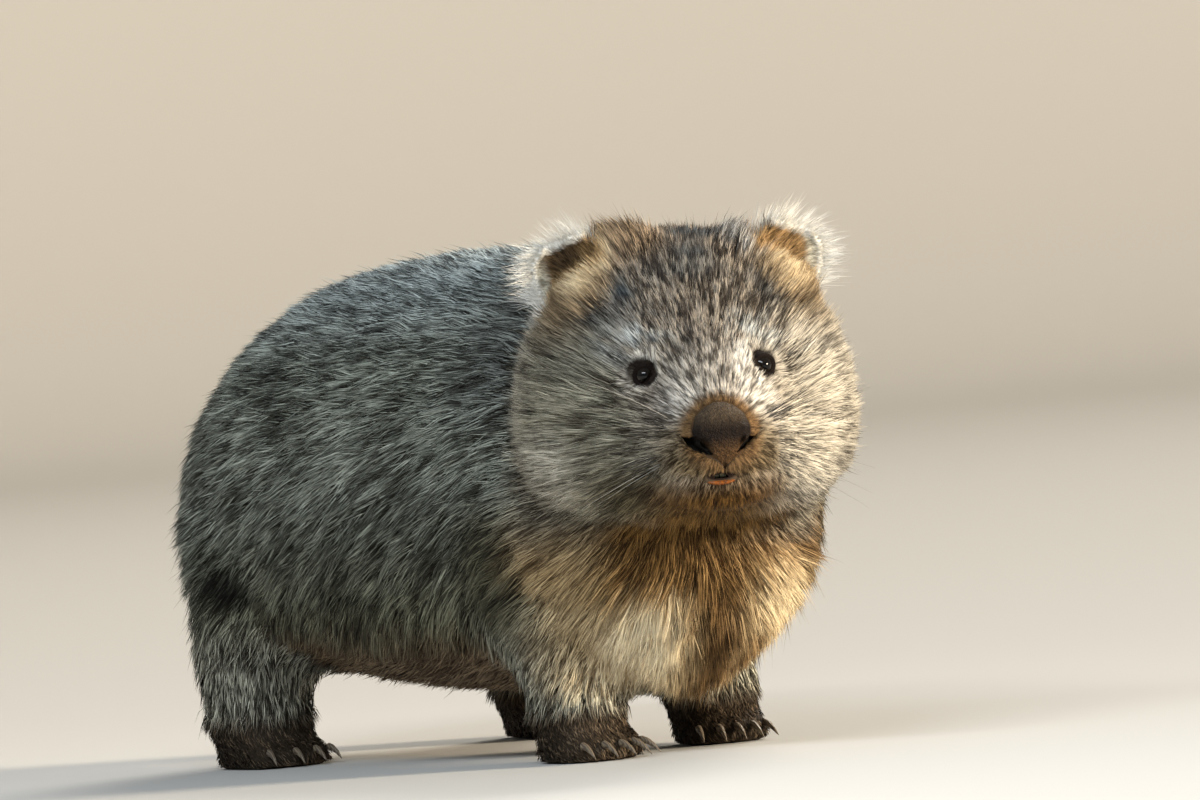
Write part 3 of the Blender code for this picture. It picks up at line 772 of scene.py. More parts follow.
def earMasks(points, normals):
    # the pinna's front, its back and its rim
    names = ("earHollow", "earBack", "earBand", "earRim")
    masks = {name: np.zeros(len(points)) for name in names}
    for _, side, sign in sides:
        local = inEar(points, side)
        across, back, rise = local[:, 0] * sign, local[:, 1], local[:, 2]
        height, half = earPlan["height"], earPlan["halfWidth"]
        squared = np.clip(rise / height, 0, 1) ** earPlan["squareTop"]
        edge = half * np.sqrt(np.clip(1 - squared, 0.09, 1))
        near = ((1 - ease(np.abs(across), half + 0.002, half + 0.008))
                * (1 - ease(np.abs(back), 0.015, 0.021)) * ease(rise, 0.008, 0.016))
        facing = normals @ np.array(-earFrames[side].to_3x3().col[1])
        rim = ease(rise, height - 0.005, height - 0.002) + ease(across, edge - 0.0035, edge - 0.001)
        band = ease(across, edge - 0.0135, edge - 0.0085) * ease(facing, -0.2, 0.2)
        masks["earBand"] = np.maximum(masks["earBand"], near * band)
        masks["earHollow"] = np.maximum(masks["earHollow"], near * ease(facing, -0.1, 0.3))
        masks["earBack"] = np.maximum(masks["earBack"], near * ease(-facing, 0.1, 0.4))
        masks["earRim"] = np.maximum(masks["earRim"], near * np.clip(rim, 0, 1))
    return masks


# Spots on the head in its own axes, each as (share, middle, radii, softness)
headSpots = {
    "darkPatch": ((1.0, (-0.085, 0.012, 0.095), (0.030, 0.022, 0.022), 0.5),
                  (1.5, (-0.055, -0.057, 0.051), (0.040, 0.018, 0.019), 0.5),
                  (0.45, (-0.036, -0.083, 0.022), (0.040, 0.026, 0.026), 0.5),
                  (0.6, (-0.060, -0.005, 0.068), (0.024, 0.030, 0.018), 0.5),
                  (0.8, (-0.060, 0.056, 0.050), (0.030, 0.014, 0.020), 0.5)),
    "nosePale": ((0.55, (0.050, -0.026, -0.026), (0.026, 0.012, 0.016), 0.6),
                 (1.0, (0.036, 0.030, -0.022), (0.032, 0.013, 0.026), 0.5),
                 (1.0, (0.022, 0.027, 0.000), (0.028, 0.011, 0.014), 0.6)),
    "browPale": ((0.85, (-0.008, -0.047, 0.022), (0.030, 0.020, 0.014), 0.9),
                 (0.8, (-0.004, 0.042, 0.020), (0.030, 0.018, 0.018), 0.9)),
    # painted shadow under the cheeks, the right spot stronger than the left
    "jowlShadow": ((1.0, (0.012, -0.062, -0.086), (0.050, 0.038, 0.020), 0.6),
             (0.6, (0.030, 0.040, -0.094), (0.040, 0.030, 0.014), 0.6)),
    "golden": ((1.0, (-0.088, -0.060, 0.081), (0.045, 0.013, 0.013), 0.5),
               (0.7, (-0.075, -0.073, 0.063), (0.036, 0.011, 0.011), 0.5),
               (0.7, (-0.075, 0.076, 0.068), (0.040, 0.014, 0.022), 0.5)),
    "jawPale": ((0.65, (-0.070, -0.098, -0.064), (0.050, 0.022, 0.024), 0.6),),
    "browLine": ((0.8, (0.0, -0.006, 0.022), (0.030, 0.006, 0.022), 0.6),),
    "upperLip": ((1.0, (0.052, 0, -0.066), (0.030, 0.029, 0.017), 0.5),),
}
chestSpots = ((0.065, -0.28, 0.160), (-0.006, -0.27, 0.118), (-0.002, -0.26, 0.094),
              (0.004, -0.24, 0.070), (0.030, -0.26, 0.080))


def spotMask(head, name):
    return sum(share * blob(head, middle, radii, soft)
               for share, middle, radii, soft in headSpots[name])


def bodyMarks(points, region):
    y, z = points[:, 1], points[:, 2]
    return {
        "back": ease(z, 0.29, 0.37),
        "lowFlank": 1 - ease(z, 0.10, 0.22),
        **{name: region[name] for name in ("rump", "belly", "leg", "foot")},
        "nape": 0.95 * (1 - ease(y, -0.150, -0.060)) * ease(z, 0.22, 0.28),
        "darkSpot": blob(points, (-0.160, 0.226, 0.142), (0.040, 0.030, 0.015), 0.5),
        "neck": 0.9 * (1 - ease(y, -0.250, -0.195)) * (1 - ease(z, 0.165, 0.210)),
    }


def chestMarks(points, normals, region):
    x, z = points[:, 0], points[:, 2]
    chest = region["chest"] * (1 - ease(x, 0.052, 0.082))
    chest = chest * ease(x, -0.135, -0.100)
    chest = chest * ease(-normals[:, 1], 0.0, 0.45)
    pale = (blob(points, (-0.048, -0.24, 0.082), (0.022, 0.12, 0.046))
            + 0.5 * blob(points, (0.044, -0.28, 0.122), (0.022, 0.12, 0.024)))
    dark = np.zeros(len(points))
    for spot in chestSpots:
        patch = blob(points, spot, (0.017, 0.07, 0.020), 0.6)
        dark = np.maximum(dark, 0.95 * patch * (chest > 0))
    return {
        "chest": chest,
        # the top of the chest: rust fur, painted paler as light where the head's shadow falls
        "chestTopRustAndLight": chest * ease(z, 0.125, 0.165),
        "chestPale": chest * np.clip(pale, 0, 1),
        "chestPatch": dark,
        # painted shade in the crease behind the right shoulder
        "armpitShade": 0.95 * blob(points, (-0.125, -0.150, 0.140), (0.030, 0.045, 0.052), 0.5),
    }


def headMarks(points, region):
    head = inHead(points)
    forward, left, up = head.T
    onHead = region["cheek"]
    throat = ((1 - ease(up, -0.101, -0.087)) * ease(up, -0.162, -0.146)
              * (1 - ease(np.abs(left), 0.052, 0.082)) * ease(forward, -0.150, -0.090))
    underJaw = blob(head, (-0.022, -0.002, -0.098), (0.064, 0.054, 0.020), 0.5)
    mottle = 0.55 + 0.45 * ease(noiseAt(points, 0.016, 3), -0.6, 0.4)
    return {
        "cheek": onHead,
        # painted shade on the animal's right cheek
        "cheekShade": 0.85 * onHead * ease(-left, 0.024, 0.055),
        "cheekBack": onHead * (1 - ease(forward, -0.115, -0.075)),
        "temple": 0.85 * blob(mirror(head), (-0.070, 0.084, 0.043), (0.050, 0.028, 0.026), 0.6),
        "jawPale": spotMask(head, "jawPale"),
        "collar": 0.85 * blob(points, (-0.082, -0.225, 0.152), (0.044, 0.060, 0.026), 0.6),
        "throat": np.maximum(throat, underJaw),
        "crown": onHead * ease(up - 0.25 * np.abs(left), 0.010, 0.045),
        "forehead": region["forehead"],
        "darkPatch": np.clip(spotMask(head, "darkPatch"), 0, 1) * mottle,
        "browLine": spotMask(head, "browLine"),
        "bridge": region["bridge"],
    }


def faceMarks(points, region):
    head = inHead(points)
    left, up = head[:, 1], head[:, 2]
    chin = blob(head, (0.038, -0.003, -0.096), (0.050, 0.050, 0.028), 0.5)
    earWhite = blob(mirror(head), (-0.122, 0.104, 0.070), (0.026, 0.022, 0.034), 0.5)
    return {
        "nosePale": np.clip(spotMask(head, "nosePale"), 0, 1),
        "browPale": spotMask(head, "browPale") * ease(noiseAt(points, 0.007, 5), -0.9, 0.5),
        "muzzle": region["muzzle"] * (1 - ease(-up, 0.070, 0.078)) * ease(-up, 0.020, 0.045),
        # painted shadow under the cheeks beside the mouth
        "jowlShadow": 0.9 * np.clip(spotMask(head, "jowlShadow"), 0, 1),
        "chin": chin * ease(-up, 0.068, 0.079),
        "upperLip": spotMask(head, "upperLip"),
        "noseRim": region["noseRim"],
        "eyePale": 0.8 * eyeMask(points, 0.0170, 0.0175, 0.30),
        "eyeRing": eyeMask(points, 0.0090, 0.0101, 0.24),
        "earGuard": region["earGuard"],
        "tuft": region["tuft"] * (1 - ease(left, -0.01, 0.02)),
        "tuftGrey": region["tuft"] * ease(left, 0.0, 0.02),
        "golden": np.clip(spotMask(head, "golden"), 0, 1),
        "earWhite": earWhite,
    }


def markMasks(points, normals):
    # how far each point carries each marking; later ones lie over earlier ones
    region = regionMasks(points, normals)
    ears = earMasks(points, normals)
    # painted shade in the top of the right ear's hollow
    shade = blob(inHead(points), (-0.095, -0.083, 0.090), (0.040, 0.015, 0.016), 0.5)
    return {**bodyMarks(points, region), **chestMarks(points, normals, region),
            **headMarks(points, region), **faceMarks(points, region), **ears,
            "earShade": ears["earHollow"] * (1 - ears["earRim"]) * shade}


def markings(points, normals):
    dark, pale, share = (np.tile(np.array(v, float), (len(points), 1)) for v in markPlan["body"])
    for name, mask in markMasks(points, normals).items():
        dark = blend(dark, mask, markPlan[name][0])
        pale = blend(pale, mask, markPlan[name][1])
        share = blend(share, mask, markPlan[name][2])
    return dark, pale, share[:, 0]


def bands(points):
    # wavy darker bands across the flank, and a soft mottling everywhere
    wave = points.copy()
    wave[:, 2] *= 0.40
    return 0.8 * noiseAt(wave, 0.026, 11) + 0.5 * noiseAt(points, 0.011, 12)


# the nostrils and the mouth's gap are painted near black, as the shade inside them
bareColours = {"lids": (0.007, 0.004, 0.003), "rim": (0.060, 0.040, 0.026),
               "wings": (0.040, 0.024, 0.014), "nostrils": (0.004, 0.003, 0.002),
               "mouth": (0.012, 0.006, 0.004), "lip": (0.150, 0.046, 0.008)}


def bareMasks(points):
    # the bare places: lids, nose, nostrils, mouth and lip; later ones lie over earlier ones
    head = inHead(points)
    lids = np.zeros(len(points))
    for _, side, sign in sides:
        far = np.linalg.norm(points - np.array(eyeCentre(side, sign)), axis=1)
        lids = np.maximum(lids, 1 - ease(far, eyeRadius + 0.0040, eyeRadius + 0.0060))
    return {
        "lids": lids,
        "rim": blob(head, (0.058, 0, -0.0690), (0.030, 0.017, 0.0105), 0.3),
        "wings": blob(np.abs(head), (0.055, 0.0215, 0.0500), (0.030, 0.010, 0.012), 0.3),
        # nostrils and mouth: painted near black, as the shade inside them
        "nostrils": nostrilMask(head),
        "mouth": blob(head, mouthPlan["place"], (0.030, 0.0108, 0.0036), 0.15),
        "lip": lipMask(head),
    }


def skinColours(points, normals):
    dark, pale, share = markings(points, normals)
    share = np.clip(share * 0.45 + 0.10 * bands(points), 0, 1)[:, None]
    colours = (dark + share * (pale - dark)) * 0.62
    for name, mask in bareMasks(points).items():
        colours = blend(colours, mask, bareColours[name])
    return colours


# Finishes. Each takes the colours painted on its mesh and breaks them up with fine noise:
# "mottle" is the noise's scale, its strength and its place, and "bump" is the kind of relief,
# its scale, strength and height.

finishPlan = {
    "coatHair": {"paint": "coatColour", "roughness": 0.55, "Specular IOR Level": 0.09,
                 "mottle": (160.0, 0.14, 1.7)},
    "skinUnderCoat": {"paint": "coatColour", "roughness": 0.72, "Specular IOR Level": 0.10,
                      "mottle": (340.0, 0.30, 4.1), "bump": ("grain", 900.0, 0.5, 0.0006)},
    "moistLip": {"paint": "coatColour", "roughness": 0.22, "Specular IOR Level": 0.22,
                 "mottle": (460.0, 0.75, 6.1), "bump": ("mottle", 460.0, 0.6, 0.0012)},
    "nosePadLeather": {"paint": "padColour", "roughness": 0.70, "Specular IOR Level": 0.16,
                       "mottle": (620.0, 0.55, 2.3), "bump": ("pebbles", 760.0, 0.70, 0.0014)},
    "eyeGloss": {"paint": "eyeColour", "roughness": 0.05, "IOR": 1.37,
                 "mottle": (700.0, 0.35, 3.9)},
    "whiskerHair": {"paint": "coatColour", "roughness": 0.38, "mottle": (220.0, 0.12, 8.3)},
}


def finishNodes(name, roughness):
    finish = bpy.data.materials.new(name)
    finish.use_nodes = True
    shader = finish.node_tree.nodes["Principled BSDF"]
    shader.inputs["Roughness"].default_value = roughness
    return finish, finish.node_tree, shader


def addNode(tree, kind, **values):
    node = tree.nodes.new(kind)
    for key, value in values.items():
        if key in node.inputs:
            node.inputs[key].default_value = value
        else:
            setattr(node, key, value)
    return node


def mottled(tree, colour, scale, amount, place):
    # multiplies a colour by fine noise round 1
    spot = addNode(tree, "ShaderNodeTexCoord")
    move = addNode(tree, "ShaderNodeMapping", Location=(place, place * 0.7, place * 0.3))
    noise = addNode(tree, "ShaderNodeTexNoise", Scale=scale, Detail=4.0, Roughness=0.6)
    spread = addNode(tree, "ShaderNodeMapRange")
    for key, value in (("From Min", 0.3), ("From Max", 0.7), ("To Min", 1 - amount),
                       ("To Max", 1 + amount)):
        spread.inputs[key].default_value = value
    mix = addNode(tree, "ShaderNodeMix", data_type="RGBA", blend_type="MULTIPLY")
    mix.inputs[0].default_value = 1.0
    tree.links.new(spot.outputs["Object"], move.inputs["Vector"])
    tree.links.new(move.outputs["Vector"], noise.inputs["Vector"])
    tree.links.new(noise.outputs["Fac"], spread.inputs["Value"])
    tree.links.new(colour, mix.inputs[6])
    tree.links.new(spread.outputs["Result"], mix.inputs[7])
    return mix.outputs[2], spot.outputs["Object"], noise.outputs["Fac"]


def bumpFrom(tree, shader, height, strength, distance):
    bump = addNode(tree, "ShaderNodeBump", Strength=strength, Distance=distance)
    tree.links.new(height, bump.inputs["Height"])
    tree.links.new(bump.outputs["Normal"], shader.inputs["Normal"])


def relief(tree, kind, scale, spot):
    # the heights that a bump takes: fine grain, or the pebbles of the nose
    if kind == "grain":
        pattern = addNode(tree, "ShaderNodeTexNoise", Scale=scale, Detail=3.0)
        height = pattern.outputs["Fac"]
    else:
        pattern = addNode(tree, "ShaderNodeTexVoronoi", Scale=scale, feature="F1")
        height = pattern.outputs["Distance"]
    tree.links.new(spot, pattern.inputs["Vector"])
    return height


def paintedFinish(name):
    plan = finishPlan[name]
    finish, tree, shader = finishNodes(name, plan["roughness"])
    for key in ("Specular IOR Level", "IOR"):
        if key in plan:
            shader.inputs[key].default_value = plan[key]
    colour = addNode(tree, "ShaderNodeAttribute", attribute_name=plan["paint"])
    mixed, spot, mottling = mottled(tree, colour.outputs["Color"], *plan["mottle"])
    tree.links.new(mixed, shader.inputs["Base Color"])
    if "bump" in plan:
        kind, scale, strength, distance = plan["bump"]
        height = mottling if kind == "mottle" else relief(tree, kind, scale, spot)
        bumpFrom(tree, shader, height, strength, distance)
    return finish


def wear(piece, *finishes):
    piece.data.materials.clear()
    for finish in finishes:
        piece.data.materials.append(finish)


def finishSkin():
    mesh = skin.data
    points, normals = pointsOf(mesh), pointsOf(mesh, "normal")
    paint(mesh, "coatColour", skinColours(points, normals))
    wear(skin, paintedFinish("skinUnderCoat"), paintedFinish("moistLip"))
    moist = lipMask(inHead(points)) > 0.4
    for face in mesh.polygons:
        face.material_index = int(moist[face.vertices[0]])


finishSkin()
print("skin painted")

# Nose pad: the CAD pad, finely remeshed, with its nostrils and the groove down its middle

# deep is the colour of the nostrils, painted near black as the shade inside them
nosePlan = {"voxel": 0.0008, "smoothing": 9, "grooveDepth": 0.0010, "wingSwell": 0.0012,
            "unevenness": 0.0003, "top": (0.052, 0.036, 0.022), "middle": (0.007, 0.003, 0.0012),
            "low": (0.072, 0.037, 0.014), "deep": (0.004, 0.003, 0.002),
            "edgeShade": 0.35, "grooveShade": 0.5}


def buildNose():
    plan = nosePlan
    pad = copyNodes(["nose"], "nosePad", 0.0)
    remeshed(pad, plan["voxel"], plan["smoothing"])
    points = pointsOf(pad.data)
    head = inHead(points)
    left, up = head[:, 1], head[:, 2]
    deep = nostrilMask(head)
    groove = np.exp(-(left / 0.0012) ** 2) * ease(-up, 0.056, 0.062)
    wing = np.exp(-((np.abs(left) - 0.0165) / 0.005) ** 2 - ((up + 0.0475) / 0.007) ** 2)
    push = (plan["wingSwell"] * wing - plan["grooveDepth"] * groove
            - nostrilPlan["padDepth"] * deep)
    push = push + plan["unevenness"] * noiseAt(points, 0.003, 21)
    setPoints(pad.data, points + push[:, None] * np.array(headForward))
    colours = np.tile(np.array(plan["top"]), (len(points), 1))
    colours = blend(colours, ease(-up, 0.030, 0.044), plan["middle"])
    colours = blend(colours, ease(-up, 0.047, 0.062), plan["low"])
    edge = ease(np.abs(left), 0.015, 0.022)[:, None]
    colours = colours * (1 - plan["edgeShade"] * edge) * (1 - plan["grooveShade"] * groove[:, None])
    # the nostrils are painted near black, as the shade deep inside them
    paint(pad.data, "padColour", blend(colours, deep, plan["deep"]))
    pad.data.shade_smooth()
    wear(pad, paintedFinish("nosePadLeather"))
    handIn(pad, ["nose"])


buildNose()

# Eyes: a near-black wet ball with a domed front

def eyeDome(bm):
    # swells the front into a dome and gives each point its colour
    colours = []
    for v in bm.verts:
        fromAxis = math.degrees(math.acos(min(1, max(-1, v.co.z))))
        centred = 1 - min(1, fromAxis / eyePlan["irisAngle"])
        v.co *= eyeRadius - 0.0001 + eyePlan["dome"] * max(0, centred) ** 0.8
        look = "pupil" if centred > 0.45 else "iris" if centred > 0 else "white"
        colours.append(eyePlan[look])
    return np.array(colours)


def buildEyes():
    gloss = paintedFinish("eyeGloss")
    for name, side, sign in sides:
        bm = bmesh.new()
        bmesh.ops.create_uvsphere(bm, u_segments=48, v_segments=32, radius=1.0)
        ahead, out, rise = lidPlan["facing"]
        axis = (headForward * ahead + headLeft * sign * out + headUp * rise).normalized()
        turn = axis.to_track_quat("Z", "Y").to_matrix().to_4x4()
        colours = eyeDome(bm)
        bmesh.ops.transform(bm, matrix=Matrix.Translation(eyeCentre(side, sign)) @ turn,
                            verts=bm.verts)
        ball = objectFrom(bm, f"eyeball{name}")
        paint(ball.data, "eyeColour", colours)
        ball.data.shade_smooth()
        wear(ball, gloss)
        handIn(ball, [f"eye_{side}"])


buildEyes()

# Claws and teeth: finer copies of the CAD ones, with the growth lines of horn and enamel

hornPlan = {
    "claw": {"colour": (0.070, 0.052, 0.038), "tip": (0.200, 0.160, 0.110), "roughness": 0.42,
             "voxel": 0.0010, "smoothing": 3, "lines": 260.0},
    "upper_incisor": {"colour": (0.420, 0.400, 0.230), "tip": (0.560, 0.540, 0.340),
                      "roughness": 0.28, "voxel": 0.0004, "smoothing": 2, "lines": 500.0,
                      "anchor": (0.0587, 0.0, -0.0780), "scale": (0.6, 0.62, 0.8),
                      "shift": (0.0022, -0.0034, 0.0010)},
    "lower_incisor": {"colour": (0.360, 0.290, 0.140), "tip": (0.520, 0.460, 0.280),
                      "roughness": 0.25, "voxel": 0.0004, "smoothing": 2, "lines": 500.0,
                      "anchor": (0.0587, 0.0, -0.0803), "scale": (0.6, 0.80, 0.30),
                      "shift": (-0.0004, -0.0034, 0.0026)},
}


def hornFinish(name, plan):
    finish, tree, shader = finishNodes(name, plan["roughness"])
    place = addNode(tree, "ShaderNodeTexCoord")
    lines = addNode(tree, "ShaderNodeTexWave", Scale=plan["lines"], Distortion=3.0, Detail=2.0)
    blend = addNode(tree, "ShaderNodeMix", data_type="RGBA")
    blend.inputs[6].default_value = (*plan["colour"], 1)
    blend.inputs[7].default_value = (*plan["tip"], 1)
    tree.links.new(place.outputs["Object"], lines.inputs["Vector"])
    tree.links.new(lines.outputs["Fac"], blend.inputs[0])
    tree.links.new(blend.outputs[2], shader.inputs["Base Color"])
    bumpFrom(tree, shader, lines.outputs["Fac"], 0.3, 0.0003)
    return finish


def buildHorn(kind, nodes, name, finish):
    plan = hornPlan[kind]
    piece = copyNodes(nodes, name, 0.0)
    if "shift" in plan:
        head = inHead(pointsOf(piece.data)) - plan["anchor"]
        head = head * plan["scale"] + plan["anchor"] + plan["shift"]
        setPoints(piece.data, head @ headAxes + np.array(browPoint))
    remeshed(piece, plan["voxel"], plan["smoothing"])
    piece.data.shade_smooth()
    wear(piece, finish)
    handIn(piece, nodes)


def buildHorns():
    finishes = {kind: hornFinish(kind + "Finish", plan) for kind, plan in hornPlan.items()}
    for end, count in (("front", 5), ("hind", 4)):
        for name, side, _ in sides:
            for i in range(1, count + 1):
                buildHorn("claw", [f"{end}_claw_{side}_{i}"], f"{end}Claw{name}{i}",
                          finishes["claw"])
    for kind in ("upper_incisor", "lower_incisor"):
        for name, side, _ in sides:
            buildHorn(kind, [f"{kind}_{side}"], kind.replace("_i", "I") + name,
                      finishes[kind])


buildHorns()
print("nose, eyes, claws and teeth ready")

# Coat: every hair is a flat blade with a root, a bend and a tip. Hairs gather into locks.

skin.data.calc_loop_triangles()
skinCorners = np.empty(len(skin.data.loop_triangles) * 3, np.int32)
skin.data.loop_triangles.foreach_get("vertices", skinCorners)
skinCorners = skinCorners.reshape(-1, 3)
skinNormals = pointsOf(skin.data, "normal")
skinPoints = pointsOf(skin.data)
triangleMiddles = skinPoints[skinCorners].mean(1)
edgeA = skinPoints[skinCorners[:, 1]] - skinPoints[skinCorners[:, 0]]
edgeB = skinPoints[skinCorners[:, 2]] - skinPoints[skinCorners[:, 0]]
triangleAreas = np.linalg.norm(np.cross(edgeA, edgeB), axis=1) / 2
triangleNormals = unit(skinNormals[skinCorners].sum(1))


def bodyFlow(points, normals):
    # back along the body and down its sides, down the legs, and forward over the feet
    y, z = points[:, 1], points[:, 2]
    fall = 0.12 + 0.75 * (1 - ease(z, 0.10, 0.34))
    fall = fall + 1.3 * ease(y, rumpEnd - 0.16, rumpEnd - 0.02)
    flow = np.stack([0 * fall, np.ones(len(points)), -fall], 1)
    flow = blend(flow, 1 - ease(z, 0.06, 0.15), (0, 0.25, -2.2))
    flow = blend(flow, 1 - ease(z, 0.022, 0.042), (0, -1.2, -0.8))
    under = ease(-normals[:, 2], 0.45, 0.85) * (1 - ease(z, 0.12, 0.2))
    return blend(flow, under, (0, 1.0, -0.1))


def headFlow(points, flow):
    # fans down the chest from the throat, and out from the nose and the eyes over the head
    head = inHead(points)
    forward, _, up = head.T
    throat = np.array(headPoint(-0.075, 0.0, -0.105))
    fan = unit(points - throat) + np.array([0, 0.0, -0.55])
    onChest = (1 - ease(points[:, 1], -0.19, -0.12)) * (1 - ease(up, -0.135, -0.105))
    flow = blend(flow, onChest * ease(points[:, 2], 0.03, 0.07), fan)
    fromNose = unit(head - np.array([0.075, 0.0, -0.045])) @ headAxes
    flow = blend(flow, ease(forward, -0.200, -0.120) * ease(up, -0.150, -0.115), fromNose)
    for _, side, _ in sides:
        away = points - np.array(boxMiddle(f"eye_{side}"))
        near = 1 - ease(np.linalg.norm(away, axis=1), 0.010, 0.020)
        flow = flow + 1.1 * near[:, None] * unit(away)
    return flow


def earFlow(points, flow, side, sign):
    # up and outwards in front of the ear and inside it, and spreading over the ear itself
    forward, left, up = inHead(points).T
    beside = ease(sign * left, 0.0, 0.02)
    mirrored = np.stack([forward, sign * left, up], 1)
    for middle, radii, soft, way in (
            ((-0.074, 0.074, 0.060), (0.032, 0.028, 0.028), 0.4, (-0.20, sign * 0.75, 0.80)),
            ((-0.092, 0.046, 0.088), (0.034, 0.028, 0.024), 0.5, (-0.20, sign * 0.50, 1.0))):
        lean = unit(np.array([way])) @ headAxes
        flow = blend(flow, beside * blob(mirrored, middle, radii, soft), lean)
    across, back, rise = inEar(points, side).T
    onEar = ((1 - ease(np.abs(across), 0.026, 0.033)) * ease(rise, 0.012, 0.022)
             * (1 - ease(np.abs(back), 0.016, 0.022)))
    turned = np.array(earFrames[side].to_3x3())
    out = np.clip(sign * across / earPlan["halfWidth"], -0.3, 1)
    spread = np.stack([sign * (0.30 + 1.1 * out), 0.30 + 0 * out, 1.0 - 0.55 * out], 1)
    return blend(flow, onEar, unit(spread @ turned.T))


def hairFlow(points, normals):
    # the way the coat lies, along the skin
    flow = headFlow(points, bodyFlow(points, normals))
    for _, side, sign in sides:
        flow = earFlow(points, flow, side, sign)
    return unit(flow - normals * (flow * normals).sum(1, keepdims=True))


def pickRoots(weights, count, rng):
    # spreads count roots over the skin's triangles, more where the weight is higher
    share = triangleAreas * weights
    total = np.cumsum(share)
    spots = (np.arange(count) + rng.uniform(0, 1, count)) / count * total[-1]
    chosen = np.searchsorted(total, spots).clip(0, len(share) - 1)
    a, b = rng.uniform(0, 1, (2, count))
    flip = a + b > 1
    a[flip], b[flip] = 1 - a[flip], 1 - b[flip]
    p0, p1, p2 = (skinPoints[skinCorners[chosen, k]] for k in range(3))
    n0, n1, n2 = (skinNormals[skinCorners[chosen, k]] for k in range(3))
    roots = p0 + (p1 - p0) * a[:, None] + (p2 - p0) * b[:, None]
    facing = n0 + (n1 - n0) * a[:, None] + (n2 - n0) * b[:, None]
    return roots, unit(facing)


def gatherLocks(roots, size, rng):
    # numbers the lock that each hair belongs to
    turn = Matrix.Rotation(0.7, 3, Vector((1, 2, 3)).normalized())
    cells = (roots @ np.array(turn)) / size[:, None] + 0.35 * rng.uniform(-1, 1, roots.shape)
    cells = np.floor(cells).astype(np.int64) + 4000
    key = cells[:, 0] * 100000000 + cells[:, 1] * 10000 + cells[:, 2]
    _, lock = np.unique(key, return_inverse=True)
    return lock


def lockMean(values, lock, count):
    size = np.bincount(lock, minlength=count).astype(float)
    if values.ndim == 1:
        return np.bincount(lock, values, count) / size
    return np.stack([np.bincount(lock, values[:, k], count) for k in range(3)], 1) / size[:, None]


def patchMap(roots, normals, centre, axis):
    # gives each hair its own small patch, in the order of the roots on an unwrap round an axis
    axis = np.array(axis, float)
    side = np.cross(axis, (0.3, 0.9, 0.2))
    side /= np.linalg.norm(side)
    other = np.cross(axis, side)
    away = roots - np.array(centre)
    along = away @ axis + 0.15 * (normals @ axis) * np.linalg.norm(away, axis=1)
    round_ = np.arctan2(away @ other, away @ side)
    count = len(roots)
    rows = int(math.ceil(math.sqrt(count)))
    order = np.argsort(along, kind="stable")
    row = np.empty(count, int)
    row[order] = np.arange(count) * rows // count
    column = np.empty(count, int)
    order = np.lexsort((round_, row))
    start = np.searchsorted(row[order], np.arange(rows))
    column[order] = np.arange(count) - start[row[order]]
    widest = column.max() + 1
    return (column + 0.5) / widest, (row + 0.5) / rows


hairFinish = paintedFinish("coatHair")

# How the hairs of a piece lie and differ; a piece of coat may set any of these another way
hairPlan = {"gather": 0.55, "swing": 0.20, "lockTone": 0.09, "underShare": 0.42, "streak": 0.42,
            "strayFrom": 0.985, "darkGuard": 0.05, "paleGuardFrom": 0.95, "guardLonger": 1.12,
            "darkTip": 0.07}
# Length, height and width of short underfur and stray hairs beside those of plain hairs
kindPlan = {"under": {"long": 0.62, "rise": 0.45, "wide": 1.35},
            "stray": {"long": 1.22, "rise": 1.45, "wide": 0.55},
            "plain": {"long": 1.0, "rise": 1.0, "wide": 0.9}}
# underfur is painted darker, as the shade deep in the coat; rootShade darkens each root as painted
# shade near the skin, while rootTone is the root's own darker colour
tonePlan = {"scatter": 0.12, "darkGuard": 0.04, "paleGuard": 0.30, "under": 0.50,
            "rootTone": 0.30, "rootShade": 0.75, "darkTip": 0.45, "tipPaler": 0.15}
patchSize = 0.0030  # of each hair's own patch on the OFBake map


def hairSizes(roots, facing, rng):
    # how far each hair rises, its length and width, and how much it differs from the next
    masks, ears = regionMasks(roots, facing), earMasks(roots, facing)
    depth, length, width, contrast = (coatValue(masks, column) for column in coatColumns[1:])
    count = len(roots)
    onEar = np.clip(ears["earHollow"] + ears["earBack"] + ears["earRim"], 0, 1)
    wispy = np.where(rng.uniform(0, 1, count) < 0.30, rng.uniform(0.45, 1.05, count), 0.12)
    fringe = ears["earBack"] * wispy
    inside = ears["earHollow"] * (1 - ears["earRim"]) * (1 - ears["earBand"])
    inside = inside * rng.uniform(0.3, 1, count)
    length = length + onEar * (0.0040 - length) + fringe * 0.025 + inside * 0.010
    depth = depth + onEar * (0.0010 - depth) + fringe * 0.010 + inside * 0.0035
    width = width + onEar * (0.00030 - width)
    return depth, length, width, contrast


def lockShapes(roots, facing, flow, length, swing, rng):
    # the root, way, swing, length, lift and tone of the lock that each hair belongs to
    number = gatherLocks(roots, np.clip(length * 0.26, 0.0016, 0.009), rng)
    count = number.max() + 1
    lock = {"root": lockMean(roots, number, count)[number],
            "normal": unit(lockMean(facing, number, count))[number]}
    way = unit(lockMean(flow, number, count))[number]
    side = np.cross(lock["normal"], way)
    lock["swing"] = swing * rng.normal(0, 1, count)[number]
    lock["flow"] = unit(way + side * lock["swing"][:, None])
    lock["long"] = rng.uniform(0.82, 1.12, count)[number]
    lock["lift"] = rng.uniform(0.75, 1.15, count)[number]
    lock["tone"] = rng.normal(0, 1, count)[number]
    return lock


def hairStreaks(roots, flow, length, share):
    # tones, swing and lift that neighbours along the lie of the coat have in common
    reach = length * share
    return {"tone": streaksAt(roots, flow, 0.0010, reach, 31),
            "broad": streaksAt(roots, flow, 0.0034, length * 0.7, 34),
            "swing": streaksAt(roots, flow, 0.0010 * 1.5, reach, 32),
            "lift": np.clip(1 + 0.15 * streaksAt(roots, flow, 0.0010 * 1.2, reach, 33), 0.6, 1.4)}


def byKind(kinds, measure):
    under, stray, plain = (kindPlan[kind][measure] for kind in ("under", "stray", "plain"))
    return np.where(kinds["under"], under, np.where(kinds["stray"], stray, plain))


